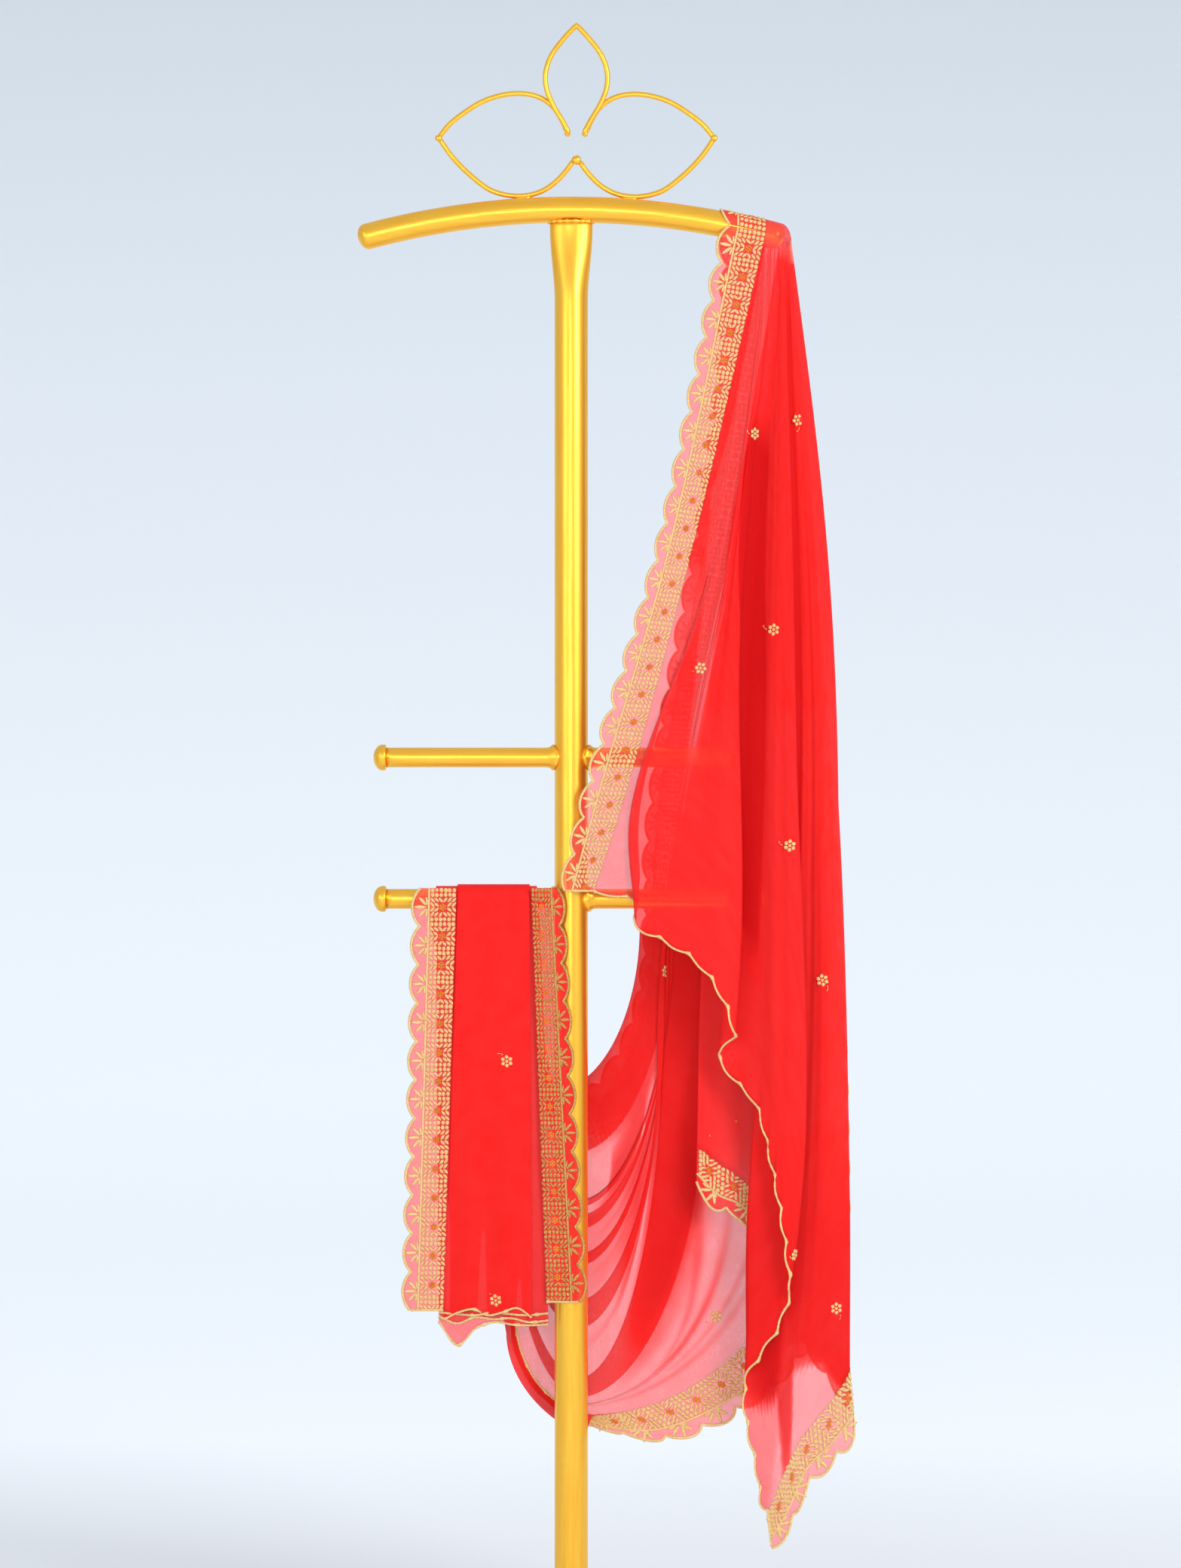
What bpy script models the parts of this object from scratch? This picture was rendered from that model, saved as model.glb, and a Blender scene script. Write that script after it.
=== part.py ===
"""A red chiffon dupatta stole with scalloped gold borders, draped on a gilt display stand.

The stand is a round foot, a post, a bent top bar with a wire lotus, and two pairs of side rods.
The stole falls in front of the bar's right end, hangs behind it, swings in a swag behind the
post and ends folded over the lower left rod. +X is the stole's side, the front looks to -Y,
+Z is up, and the origin is the middle of the foot's underside. Tables hold millimetres.
"""

import math

import bpy
import numpy as np

MM = 0.001
GAP = 0.3

# Stand
FOOT_RADIUS = 175.0
FOOT_THICKNESS = 6.0
POST_RADIUS = 16.0
POST_NECK_TOP = 1390.0
POST_NECK_START = 1320.0
POST_NECK_WIDTH = 20.5
POST_NECK_DEPTH = 10.0
BAR_RADIUS = 12.5
BAR_CROWN_Z = 1409.0
BAR_BEND_RADIUS = 758.0
BAR_HALF_SPAN = 205.0
ROD_RADIUS = 9.5
ROD_REACH = 178.0
ROD_HEIGHTS = {"upper": 882.0, "lower": 746.0}
CAP_RADIUS = 12.5
CAP_LENGTH = 12.0
WIRE_RADIUS = 2.4
FACET_SINK = 0.45
LOTUS_X = 5.0
FALL_BOW = 8.0

# Half outlines of the lotus, as distances from its middle and heights. The side petal starts at
# its inner lower end and passes its tip, and the top petal starts at its lower end.
SIDE_PETAL_LOWER = (
    (3.6, 1456.0),
    (10.8, 1446.2),
    (22.9, 1434.1),
    (37.4, 1426.0),
    (56.7, 1422.9),
    (80.9, 1427.8),
    (100.2, 1441.3),
    (119.6, 1460.7),
    (132.6, 1479.0),
)
SIDE_PETAL_UPPER = (
    (132.6, 1479.0),
    (122.0, 1492.1),
    (109.9, 1501.8),
    (90.6, 1513.8),
    (71.2, 1520.1),
    (51.9, 1521.6),
    (35.0, 1517.7),
    (22.9, 1509.0),
    (14.2, 1496.0),
    (9.2, 1484.0),
)
TOP_PETAL_HALF = (
    (6.6, 1481.0),
    (13.5, 1494.0),
    (22.4, 1509.0),
    (28.4, 1523.5),
    (29.9, 1538.0),
    (25.1, 1554.9),
    (13.2, 1571.8),
    (0.0, 1586.0),
)

# Cloth
WALL = 1.0
BORDER_WALL = 1.4
SCALLOP_PITCH = 37.0
SCALLOP_STEPS = 4
SCALLOP_DEPTH = 7.5
SADDLE_RADIUS = BAR_RADIUS + 2 * GAP + WALL / 2
SEAM_GAP = 1.0
FALL_ROWS = 15
SWAG_ROWS = {"fall": 8, "swing": 21, "rise": 5}

# Fold lines of the front fall, from the left border's seam to the turned right edge. Each line
# starts on the bar at x_top, passes x_mid half way down and x_low near its end, and stops at
# the hem point (x_hem, z_hem). y_mid and y_hem are its depth in front of the stand's plane.
FRONT_COLUMNS = ("across", "x_top", "x_mid", "x_low", "x_hem", "z_hem", "y_mid", "y_hem")
FRONT_FOLDS = (
    (0.000, 187.0, 113, 53, 22, 754, -20, -24),  # seam of the left border
    (0.030, 188.5, 123, 62, 42, 752, -21, -26),
    (0.065, 189.8, 132, 66, 67, 742, -22, -24),  # tuck, hidden edge
    (0.085, 190.6, 135, 56, 61, 728, -25, -31),  # tuck, front edge
    (0.150, 192.0, 143, 88, 94, 706, -28, -37),
    (0.220, 193.5, 150, 118, 122, 687, -30, -40),
    (0.290, 195.0, 156, 144, 146, 653, -30, -40),
    (0.330, 196.0, 161, 162, 157, 622, -28, -37),  # right edge of the wide panel
    (0.345, 196.5, 162, 163, 157, 614, -22, -30),
    (0.375, 197.2, 159, 152, 146, 601, -15, -21),
    (0.395, 197.8, 160, 150, 143, 595, -12, -15),  # shaded valley
    (0.425, 198.5, 171, 160, 157, 575, -12, -15),
    (0.460, 199.5, 186, 180, 178, 551, -19, -24),
    (0.510, 200.7, 196, 193, 193, 495, -27, -32),
    (0.560, 202.0, 207, 209, 204, 433, -30, -36),  # crest of the middle fold
    (0.600, 203.0, 215, 222, 211, 376, -27, -33),
    (0.615, 203.6, 216, 224, 211, 368, -22, -27),  # right edge of the middle fold
    (0.640, 204.4, 212, 207, 201, 338, -18, -21),
    (0.670, 205.0, 208, 188, 186, 313, -15, -18),
    (0.700, 205.6, 205, 171, 171, 290, -12, -15),
    (0.715, 206.0, 205, 169, 168, 278, -8, -10),  # left edge of the tail
    (0.745, 206.6, 210, 178, 170, 245, -6, -9),
    (0.775, 207.2, 216, 190, 179, 204, -6, -9),
    (0.830, 208.0, 226, 208, 188, 160, -8, -12),  # the hem meets the tail border
    (0.870, 208.8, 234, 222, 204, 195, -10, -15),
    (0.910, 209.6, 242, 237, 221, 229, -10, -14),
    (0.955, 210.4, 251, 254, 251, 266, -7, -9),
    (0.985, 211.0, 256, 266, 267, 290, -4, -4),
    (1.000, 211.4, 257, 268, 268, 295, 0, 0),  # turned right edge
)

# Outer edge of the left border, at the crests of its scallops, and the tail border's crests.
LEFT_EDGE_X = {"x_top": 143.0, "x_mid": 77.0, "x_low": 10.0, "x_hem": -13.0}
TAIL_CRESTS = (
    (193, -11, 114),
    (213, -12, 144),
    (228, -15, 180),
    (254, -13, 203),
    (272, -5, 226),
    (272, -1, 244),
)

# The right part turned back behind the fall. Same columns as the front folds, but y_top too.
TURN_COLUMNS = ("across", "x_top", "x_mid", "x_low", "x_hem", "z_hem", "y_top", "y_mid", "y_hem")
TURN_FOLDS = (
    (0.00, 211.4, 257, 268, 268, 295, 1.3, 1.3, 1.3),
    (0.04, 211.2, 256, 267, 264, 303, 4, 5, 5),
    (0.15, 209.0, 245, 252, 247, 334, 8, 13, 10),
    (0.36, 205.0, 216, 222, 213, 396, 10, 15, 9),
    (0.60, 200.0, 182, 178, 172, 468, 10, 15, 5),
    (0.80, 195.0, 157, 146, 142, 491, 10, 15, 2),
    (1.00, 190.0, 141, 124, 121, 508, 10, 15, -1),
)

# Crests of the border below the turned part, one for each of its lines.
TURN_CRESTS = (
    (271, 1.4, 246),
    (262, 6, 258),
    (238, 9, 292),
    (204, 8, 344),
    (170, 4, 428),
    (140, 1, 443),
    (120, -2, 466),
)

# Lines of the back fall and swag, from its upper border to its lower one. A line leaves the bar
# at x_bar, hangs to (x_side, z_turn), swings to its low point (x_low, z_low) behind the post,
# turns up at (x_left, z_left) and ends on the lower left rod at x_rod.
SWAG_COLUMNS = (
    "across", "x_bar", "x_side", "z_turn", "x_low", "z_low", "x_left", "z_left", "x_rod", "y_low"
)
SWAG_LINES = (
    (0.00, 143, 66, 716, -12, 562, -27, 640, -31, 25),  # upper border, crests
    (0.08, 187, 97, 716, 6, 500, -39, 600, -42, 26.5),  # upper border, seam
    (0.14, 190, 101, 722, 8, 452, -42, 570, -48, 26.5),
    (0.24, 194, 110, 716, 8, 420, -45, 540, -57, 26.5),
    (0.36, 198, 122, 700, 8, 378, -48, 500, -68, 26.5),
    (0.48, 202, 136, 670, 8, 336, -50, 470, -80, 26.5),
    (0.62, 205, 158, 620, 8, 270, -53, 420, -96, 26.5),
    (0.92, 209, 232, 470, 20, 246, -55, 337, -124, 26),  # lower border, seam
    (1.00, 211, 270, 420, 62, 216, -63, 326, -138, 21),  # lower border, crests
)
SWING_POWER = 1.9
SWAG_DEPTH = 26.5
PLEAT_COUNT = 6
PLEAT_START = 0.12
PLEAT_END = 0.66
PLEAT_DEPTH = 5.5

# The end folded over the lower left rod. Each strip hangs from the rod's top to z_end, and its
# edges run from x_left and x_right at the rod to the same names with _end at the bottom.
FOLD_COLUMNS = (
    "name", "x_left", "x_right", "x_left_end", "x_right_end", "z_end_left", "z_end_right", "lift",
    "back_z", "wall",
)
ROD_FOLDS = (
    ("rod_fold_layers", -132, -32, -128, -28, 336, 342, 0.5, 734.2, 3.0),
    ("rod_fold_panel", -109.5, -40, -122, -38, 352, 347, 4.0, 739.0, WALL),
)
LEFT_HANGING_BORDER = {"x_seam": -109.8, "x_seam_end": -122.4, "x_crest": -153.0, "x_crest_end": -163.0}
RIGHT_HANGING_BORDER = {"x_seam": -38.5, "x_seam_end": -24.0, "x_crest": -7.0, "x_crest_end": 16.0}
HANGING_TOP_Z = 757.0
HANGING_END_Z = {"left": 352.0, "right": 360.0}
HANGING_BORDER_Y = {"left": (-15.6, -15.6), "right": (-15.4, -18.7)}

MATERIALS = {
    "chiffon_red": ((0.86, 0.03, 0.03), 0.7, 0.0),
    "border_gold": ((0.83, 0.55, 0.20), 0.45, 0.3),
    "gilt_paint": ((0.85, 0.60, 0.12), 0.3, 0.6),
}


def clear_scene():
    for old in list(bpy.data.objects):
        bpy.data.objects.remove(old, do_unlink=True)


def new_collection(name, hidden=False):
    group = bpy.data.collections.new(name)
    bpy.context.scene.collection.children.link(group)
    group.hide_render = hidden
    return group


def material(name):
    """A Principled material from the MATERIALS table, made once."""
    found = bpy.data.materials.get(name)
    if found:
        return found
    colour, roughness, metallic = MATERIALS[name]
    made = bpy.data.materials.new(name)
    made.use_nodes = True
    shader = made.node_tree.nodes["Principled BSDF"]
    shader.inputs["Base Color"].default_value = (*colour, 1.0)
    shader.inputs["Roughness"].default_value = roughness
    shader.inputs["Metallic"].default_value = metallic
    return made


def add_mesh(name, points, faces, finish, group):
    mesh = bpy.data.meshes.new(name)
    mesh.from_pydata([tuple(p) for p in np.asarray(points) * MM], [], faces)
    mesh.materials.append(material(finish))
    made = bpy.data.objects.new(name, mesh)
    group.objects.link(made)
    return made


def column(table, names, name):
    """One named column of a table as an array."""
    return np.array([row[names.index(name)] for row in table], float)


def smooth(knots, values, at):
    """A cubic curve through values at knots, with each slope taken from its two neighbours."""
    knots, values, at = (np.asarray(a, float) for a in (knots, values, at))
    steps = np.diff(values, axis=0) / np.diff(knots)[(...,) + (None,) * (values.ndim - 1)]
    inner = 0.5 * (steps[1:] + steps[:-1])
    slopes = np.concatenate([steps[:1], inner, steps[-1:]])
    k = np.clip(np.searchsorted(knots, at, side="right") - 1, 0, len(knots) - 2)
    span = knots[k + 1] - knots[k]
    shape = (...,) + (None,) * (values.ndim - 1)
    t = ((at - knots[k]) / span)[shape]
    span = span[shape]
    return (
        values[k] * (1 + 2 * t) * (1 - t) ** 2
        + values[k + 1] * t**2 * (3 - 2 * t)
        + slopes[k] * span * t * (1 - t) ** 2
        + slopes[k + 1] * span * t**2 * (t - 1)
    )


def bar_height(x):
    """Height of the bent bar's centre line at x."""
    return BAR_CROWN_Z - (BAR_BEND_RADIUS - np.sqrt(BAR_BEND_RADIUS**2 - np.square(x)))


def round_end(x):
    """Depth of the cloth on the bar: its radius, rounding to nothing past the bar's end."""
    past = np.clip((np.asarray(x, float) - 203.0) / 8.6, 0.0, 1.0)
    return SADDLE_RADIUS * np.sqrt(1.0 - past**2)


def grid_faces(rows, columns):
    """Quads of a grid of points stored row by row."""
    corner = np.arange(rows * columns).reshape(rows, columns)
    quads = np.stack([corner[:-1, :-1], corner[1:, :-1], corner[1:, 1:], corner[:-1, 1:]], axis=-1)
    return quads.reshape(-1, 4).tolist()


def cloth(name, grid, group, wall=WALL, finish="chiffon_red"):
    """A sheet from a grid of points, given its wall by Solidify on both sides of the grid."""
    rows, columns = grid.shape[:2]
    made = add_mesh(name, grid.reshape(-1, 3), grid_faces(rows, columns), finish, group)
    thicken = made.modifiers.new("wall", "SOLIDIFY")
    thicken.thickness = wall * MM
    thicken.offset = 0.0
    made.data.shade_smooth()
    return made


def scallop_steps(length):
    """Places along an edge, four to a scallop, and how far each point is from its crest."""
    count = max(2, round(length / SCALLOP_PITCH))
    along = np.linspace(0.0, 1.0, count * SCALLOP_STEPS + 1)
    inset = 1.0 - np.abs(np.sin(np.pi * count * along)) ** 0.7
    return along, inset * SCALLOP_DEPTH


def border(name, seams, crests, group):
    """A scalloped strip from its seam to its crests, both given as matching rows of points.

    The seam is straight between its points, as the panel's edge is, and the crests are smooth.
    """
    seams, crests = np.asarray(seams, float), np.asarray(crests, float)
    reach = np.concatenate([[0.0], np.cumsum(np.linalg.norm(np.diff(crests, axis=0), axis=1))])
    along, inset = scallop_steps(reach[-1])
    inner = np.stack([np.interp(along, reach / reach[-1], seams[:, axis]) for axis in range(3)], axis=-1)
    outer = smooth(reach / reach[-1], crests, along)
    width = np.linalg.norm(outer - inner, axis=1)
    inward = (inner - outer) / width[:, None]
    edge = outer + inward * np.minimum(inset, 0.3 * width)[:, None]
    tangent = np.gradient(inner, axis=0)
    tangent /= np.linalg.norm(tangent, axis=1)[:, None]
    slant = np.linalg.norm(np.cross(tangent, inward), axis=1)
    inner = inner - inward * np.minimum(SEAM_GAP / np.clip(slant, 0.4, 1.0), 0.2 * width)[:, None]
    return cloth(name, np.stack([inner, edge], axis=1), group, BORDER_WALL, "border_gold")


def fall_bow(share, across):
    """How far the fall's right edge bows out above its middle, fading across to the left."""
    return FALL_BOW * np.sin(np.pi * np.clip(share / 0.5, 0.0, 1.0))[:, None] * across**4


def front_lines(shares):
    """Points of the front fall's fold lines at shares of the way down: (share, line, xyz)."""
    table = {c: column(FRONT_FOLDS, FRONT_COLUMNS, c) for c in FRONT_COLUMNS}
    v = np.asarray(shares, float)
    knots = (0.0, 0.5, 0.85, 1.0)
    x = smooth(knots, np.stack([table[c] for c in ("x_top", "x_mid", "x_low", "x_hem")]), v)
    y_top = -round_end(table["x_top"])
    y = smooth(knots, np.stack([y_top, table["y_mid"], table["y_hem"], table["y_hem"]]), v)
    x = x + fall_bow(v, column(FRONT_FOLDS, FRONT_COLUMNS, "across"))
    z_top = bar_height(table["x_top"]) - SEAM_GAP
    z = z_top + (table["z_hem"] - z_top) * v[:, None]
    return np.stack([x, y, z], axis=-1)


def fall_shares():
    """The front fall's rows, closer together near its hem."""
    return np.linspace(0.0, 1.0, FALL_ROWS) ** 0.85


def build_front_fall(group):
    cloth("front_fall", front_lines(fall_shares()), group)


def build_left_border(group):
    """The front fall's left border, from the bar to the hem corner."""
    shares = fall_shares()
    seams = front_lines(shares)[:, 0]
    x = smooth((0.0, 0.5, 0.85, 1.0), np.array(list(LEFT_EDGE_X.values())), shares)
    crests = np.stack([x, seams[:, 1], seams[:, 2] + 8.0 * (1 - shares)], axis=-1)
    border("left_border", seams, crests, group)


def build_tail_border(group):
    """The gold border that closes the tail, from the tip up to the turned edge."""
    first = [row[0] for row in FRONT_FOLDS].index(0.830)
    seams = front_lines([1.0])[0][first:]
    border("tail_border", seams, TAIL_CRESTS, group)


def turned_lines(shares):
    """Points of the lines turned back behind the fall: (share down, line, xyz)."""
    table = {c: column(TURN_FOLDS, TURN_COLUMNS, c) for c in TURN_COLUMNS}
    v = np.asarray(shares, float)
    knots = (0.0, 0.5, 0.85, 1.0)
    x = smooth(knots, np.stack([table[c] for c in ("x_top", "x_mid", "x_low", "x_hem")]), v)
    y = smooth(knots, np.stack([table[c] for c in ("y_top", "y_mid", "y_mid", "y_hem")]), v)
    x = x + fall_bow(v, 1.0 - column(TURN_FOLDS, TURN_COLUMNS, "across"))
    z_top = bar_height(table["x_top"]) - SEAM_GAP
    z = z_top + (table["z_hem"] - z_top) * v[:, None]
    return np.stack([x, y, z], axis=-1)


def build_turned_edge(group):
    """The fall's right part, turned back behind it, and the border along its foot."""
    cloth("turned_edge", turned_lines(np.linspace(0.03, 1.0, 12)), group)
    border("turned_border", turned_lines([1.0])[0], TURN_CRESTS, group)


def swag_lines(shares, lines=None):
    """The swag's lines at shares of the way from bar to rod: (share, line, xyz).

    Each line is a straight fall, a quarter of a superellipse down to the low point, a second
    quarter up the far side, and a straight rise to the rod. The pleats are cosine waves in
    depth between the borders, deepest in the swag and gone at the bar and the rod.
    """
    names = [c for c in SWAG_COLUMNS if c != "across"]
    places = column(SWAG_LINES, SWAG_COLUMNS, "across")
    across = places if lines is None else np.asarray(lines, float)
    rows = np.stack([column(SWAG_LINES, SWAG_COLUMNS, c) for c in names], axis=-1)
    value = dict(zip(names, smooth(places, rows, across).T))
    share = np.asarray(shares, float)[:, None]
    fall, swing, climb = 0.36, 0.64, 0.80
    z_bar = bar_height(value["x_bar"]) - SEAM_GAP
    z_rod = ROD_HEIGHTS["lower"] - 12.6
    t = np.clip(share / fall, 0.0, 1.0)
    x_fall = value["x_bar"] + (value["x_side"] - value["x_bar"]) * np.sin(t * np.pi / 2) ** 1.2
    z_fall = z_bar + (value["z_turn"] - z_bar) * t
    angle = np.clip((share - fall) / (swing - fall), 0.0, 1.0) * np.pi / 2
    right = np.cos(angle) ** (2 / SWING_POWER)
    down = np.sin(angle) ** (2 / SWING_POWER)
    x_swing = value["x_low"] + (value["x_side"] - value["x_low"]) * right
    z_swing = value["z_turn"] + (value["z_low"] - value["z_turn"]) * down
    angle = np.clip((share - swing) / (climb - swing), 0.0, 1.0) * np.pi / 2
    left = np.sin(angle) ** (2 / SWING_POWER)
    up = 1.0 - np.cos(angle) ** (2 / SWING_POWER)
    x_climb = value["x_low"] + (value["x_left"] - value["x_low"]) * left
    z_climb = value["z_low"] + (value["z_left"] - value["z_low"]) * up
    t = np.clip((share - climb) / (1.0 - climb), 0.0, 1.0)
    x_rise = value["x_left"] + (value["x_rod"] - value["x_left"]) * t
    z_rise = value["z_left"] + (z_rod - value["z_left"]) * t
    x = np.where(share < fall, x_fall, np.where(share < swing, x_swing, np.where(share < climb, x_climb, x_rise)))
    z = np.where(share < fall, z_fall, np.where(share < swing, z_swing, np.where(share < climb, z_climb, z_rise)))
    rise = np.clip((share - swing) / (1.0 - swing), 0.0, 1.0)
    y_bar = round_end(value["x_bar"])
    y_rod = ROD_RADIUS + 2.3
    opening = np.clip(share / 0.12, 0.0, 1.0) ** 0.5
    y = y_bar + (SWAG_DEPTH - y_bar) * opening
    bend = np.exp(-(((share - 0.68) / 0.14) ** 2))
    y = y + (value["y_low"] - SWAG_DEPTH) * bend
    y = y + (y_rod - SWAG_DEPTH) * rise**3
    pleat = np.clip((across - PLEAT_START) / (PLEAT_END - PLEAT_START), 0.0, 1.0)
    wave = np.sin(2 * np.pi * PLEAT_COUNT * pleat) * np.sin(np.pi * share) ** 0.6
    return np.stack([x, y + PLEAT_DEPTH * wave, z], axis=-1)


def swag_shares():
    """Rows of the swag, closest together where it swings."""
    fall = np.linspace(0.0, 0.34, SWAG_ROWS["fall"])
    swing = np.linspace(0.36, 0.82, SWAG_ROWS["swing"])
    return np.concatenate([fall, swing, np.linspace(0.85, 1.0, SWAG_ROWS["rise"])])


def build_swag(group):
    """Back fall and swag between their borders, and the two scalloped borders."""
    cloth("swag_panel", swag_lines(swag_shares(), np.linspace(0.08, 0.92, 29)), group)
    for name, seam, crest in (("upper", 0.08, 0.0), ("lower", 0.92, 1.0)):
        edges = swag_lines(swag_shares(), [seam, crest])
        border(f"swag_border_{name}", edges[:, 0], edges[:, 1], group)


def over_bar(x, angle, lift=0.0):
    """A point on the cloth that lies on the bar, angle 0 in front and pi behind."""
    radius = round_end(x) + lift
    upright = radius / np.sqrt(1.0 - np.square(x / BAR_BEND_RADIUS))
    return np.stack(
        [np.broadcast_to(x, angle.shape), -radius * np.cos(angle), bar_height(x) + upright * np.sin(angle)],
        axis=-1,
    )


def build_saddle(group):
    """The stretch over the bar: plain cloth at the bar's end, and its border with one cusp."""
    angle = np.linspace(0.0, np.pi, 13)[:, None]
    x = np.array([187.3, 192.0, 197.0, 202.0, 206.0, 209.0, 210.8])[None, :]
    cloth("bar_saddle", over_bar(x, angle * np.ones_like(x)), group)
    cusp = SCALLOP_DEPTH * (1.0 - np.abs(np.sin(angle)) ** 0.7)
    x = 186.7 + (143.0 + cusp - 186.7) * np.array([0.0, 0.5, 1.0])[None, :]
    grid = over_bar(x, angle * np.ones_like(x), (BORDER_WALL - WALL) / 2)
    cloth("saddle_border", grid, group, BORDER_WALL, "border_gold")


def over_rod(radius, depth_end, z_end, back_z, steps=7):
    """Profile of cloth over the lower left rod, from its front foot over the rod to its back."""
    z_rod = ROD_HEIGHTS["lower"]
    front = [(depth_end + (-radius - depth_end) * t**2, z_end + (z_rod - z_end) * t) for t in (0, 0.3, 0.6, 0.85)]
    arc = [(-radius * math.cos(a), z_rod + radius * math.sin(a)) for a in np.linspace(0.0, math.pi, steps)]
    return np.array(front + arc + [(radius, back_z)])


def build_rod_folds(group):
    """Layers of the folded end over the rod, the panel on them and the two hanging borders."""
    for row in ROD_FOLDS:
        fold = dict(zip(FOLD_COLUMNS, row))
        radius = ROD_RADIUS + GAP + fold["lift"] + fold["wall"] / 2
        across = np.linspace(0.0, 1.0, 7)
        grid = []
        for s in across:
            z_end = fold["z_end_left"] + (fold["z_end_right"] - fold["z_end_left"]) * s
            z_end += 5.0 * math.cos(3 * math.pi * s)
            profile = over_rod(radius, -radius - 1.0, z_end, fold["back_z"])
            top = fold["x_left"] + (fold["x_right"] - fold["x_left"]) * s
            end = fold["x_left_end"] + (fold["x_right_end"] - fold["x_left_end"]) * s
            down = np.clip((ROD_HEIGHTS["lower"] - profile[:, 1]) / (ROD_HEIGHTS["lower"] - z_end), 0.0, 1.0)
            down[-1] = 0.0
            grid.append(np.column_stack([top + (end - top) * down, profile]))
        cloth(fold["name"], np.array(grid), group, fold["wall"])
    for side, line in (("left", LEFT_HANGING_BORDER), ("right", RIGHT_HANGING_BORDER)):
        foot = HANGING_END_Z[side]
        y_seam, y_crest = HANGING_BORDER_Y[side]
        seams = [(line["x_seam"], y_seam, HANGING_TOP_Z), (line["x_seam_end"], y_seam, foot)]
        crests = [(line["x_crest"], y_crest, HANGING_TOP_Z), (line["x_crest_end"], y_crest, foot)]
        border(f"hanging_border_{side}", seams, crests, group)


def turned(name, profile, group, finish="gilt_paint", steps=24):
    """A turned solid from (radius, height) points listed from its top down, on the Z axis."""
    points = [(r, 0.0, z) for r, z in profile]
    edges = [(i, i + 1) for i in range(len(points) - 1)]
    mesh = bpy.data.meshes.new(name)
    mesh.from_pydata([tuple(c * MM for c in p) for p in points], edges, [])
    mesh.materials.append(material(finish))
    made = bpy.data.objects.new(name, mesh)
    group.objects.link(made)
    spin = made.modifiers.new("turn", "SCREW")
    spin.steps = steps
    spin.render_steps = steps
    spin.use_merge_vertices = True
    spin.merge_threshold = 0.00001
    spin.use_smooth_shade = True
    return made


def wire(name, points, radius, group, radii=None, closed=False, resolution=2):
    """A round wire or tube along a list of points in millimetres."""
    data = bpy.data.curves.new(name, "CURVE")
    data.dimensions = "3D"
    data.bevel_depth = radius * MM
    data.bevel_resolution = resolution
    data.use_fill_caps = not closed
    line = data.splines.new("POLY")
    line.points.add(len(points) - 1)
    for point, at in zip(line.points, points):
        point.co = (*(c * MM for c in at), 1.0)
    for point, share in zip(line.points, radii if radii is not None else [1.0] * len(points)):
        point.radius = share
    line.use_cyclic_u = closed
    data.materials.append(material("gilt_paint"))
    made = bpy.data.objects.new(name, data)
    group.objects.link(made)
    return made


def build_foot_and_post(group):
    edge = 3.0
    turned(
        "foot",
        [
            (0.0, FOOT_THICKNESS),
            (FOOT_RADIUS - edge, FOOT_THICKNESS),
            (FOOT_RADIUS, FOOT_THICKNESS - edge),
            (FOOT_RADIUS, edge / 2),
            (FOOT_RADIUS - edge / 2, 0.0),
            (0.0, 0.0),
        ],
        group,
        steps=48,
    )
    top = BAR_CROWN_Z - BAR_RADIUS - 3 * GAP
    heights = [FOOT_THICKNESS + GAP, 400, 800, 1200, POST_NECK_START, 1345, 1370, 1384, top]
    turn = np.linspace(0.0, 2 * np.pi, 25)[:-1]
    rings = []
    for z in heights:
        neck = np.clip((z - POST_NECK_START) / (POST_NECK_TOP - POST_NECK_START), 0.0, 1.0)
        neck = neck * neck * (3 - 2 * neck)
        half_width = POST_RADIUS + (POST_NECK_WIDTH - POST_RADIUS) * neck
        half_depth = POST_RADIUS + (POST_NECK_DEPTH - POST_RADIUS) * neck
        rings.append(np.column_stack([half_width * np.cos(turn), half_depth * np.sin(turn), z + 0 * turn]))
    count = len(turn)
    ring = np.arange(count)
    ahead = np.roll(ring, -1)
    faces = []
    for level in range(len(rings) - 1):
        low, high = level * count, (level + 1) * count
        faces += np.column_stack([low + ring, low + ahead, high + ahead, high + ring]).tolist()
    faces.append(ring[::-1].tolist())
    faces.append((ring + (len(rings) - 1) * count).tolist())
    post = add_mesh("post", np.concatenate(rings), faces, "gilt_paint", group)
    post.data.shade_smooth()
    post.data.set_sharp_from_angle(angle=math.radians(40))


def build_top_bar(group):
    """The bent bar, its two ends domed by shrinking the last few rings."""
    reach = math.asin(BAR_HALF_SPAN / BAR_BEND_RADIUS)
    ends = (0.45, 0.8, 0.97)
    dome = [reach, reach - 0.0035, reach - 0.010]
    inner = np.linspace(-reach + 0.022, reach - 0.022, 13)
    angles = np.concatenate([-np.array(dome), inner, np.array(dome)[::-1]])
    radii = [*ends, *[1.0] * len(inner), *ends[::-1]]
    points = [
        (
            BAR_BEND_RADIUS * math.sin(a),
            0.0,
            BAR_CROWN_Z - BAR_BEND_RADIUS * (1 - math.cos(a)),
        )
        for a in angles
    ]
    wire("top_bar", points, BAR_RADIUS, group, radii=radii, resolution=4)


def post_cutter(group):
    """A cylinder a gap wider than the post, which copes the rods' roots."""
    bpy.ops.mesh.primitive_cylinder_add(
        vertices=48, radius=(POST_RADIUS + GAP) * MM, depth=1.0, location=(0.0, 0.0, 0.8)
    )
    cutter = bpy.context.object
    cutter.name = "post_cutter"
    for owner in list(cutter.users_collection):
        owner.objects.unlink(cutter)
    group.objects.link(cutter)
    cutter.hide_render = True
    cutter.display_type = "WIRE"
    return cutter


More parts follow.
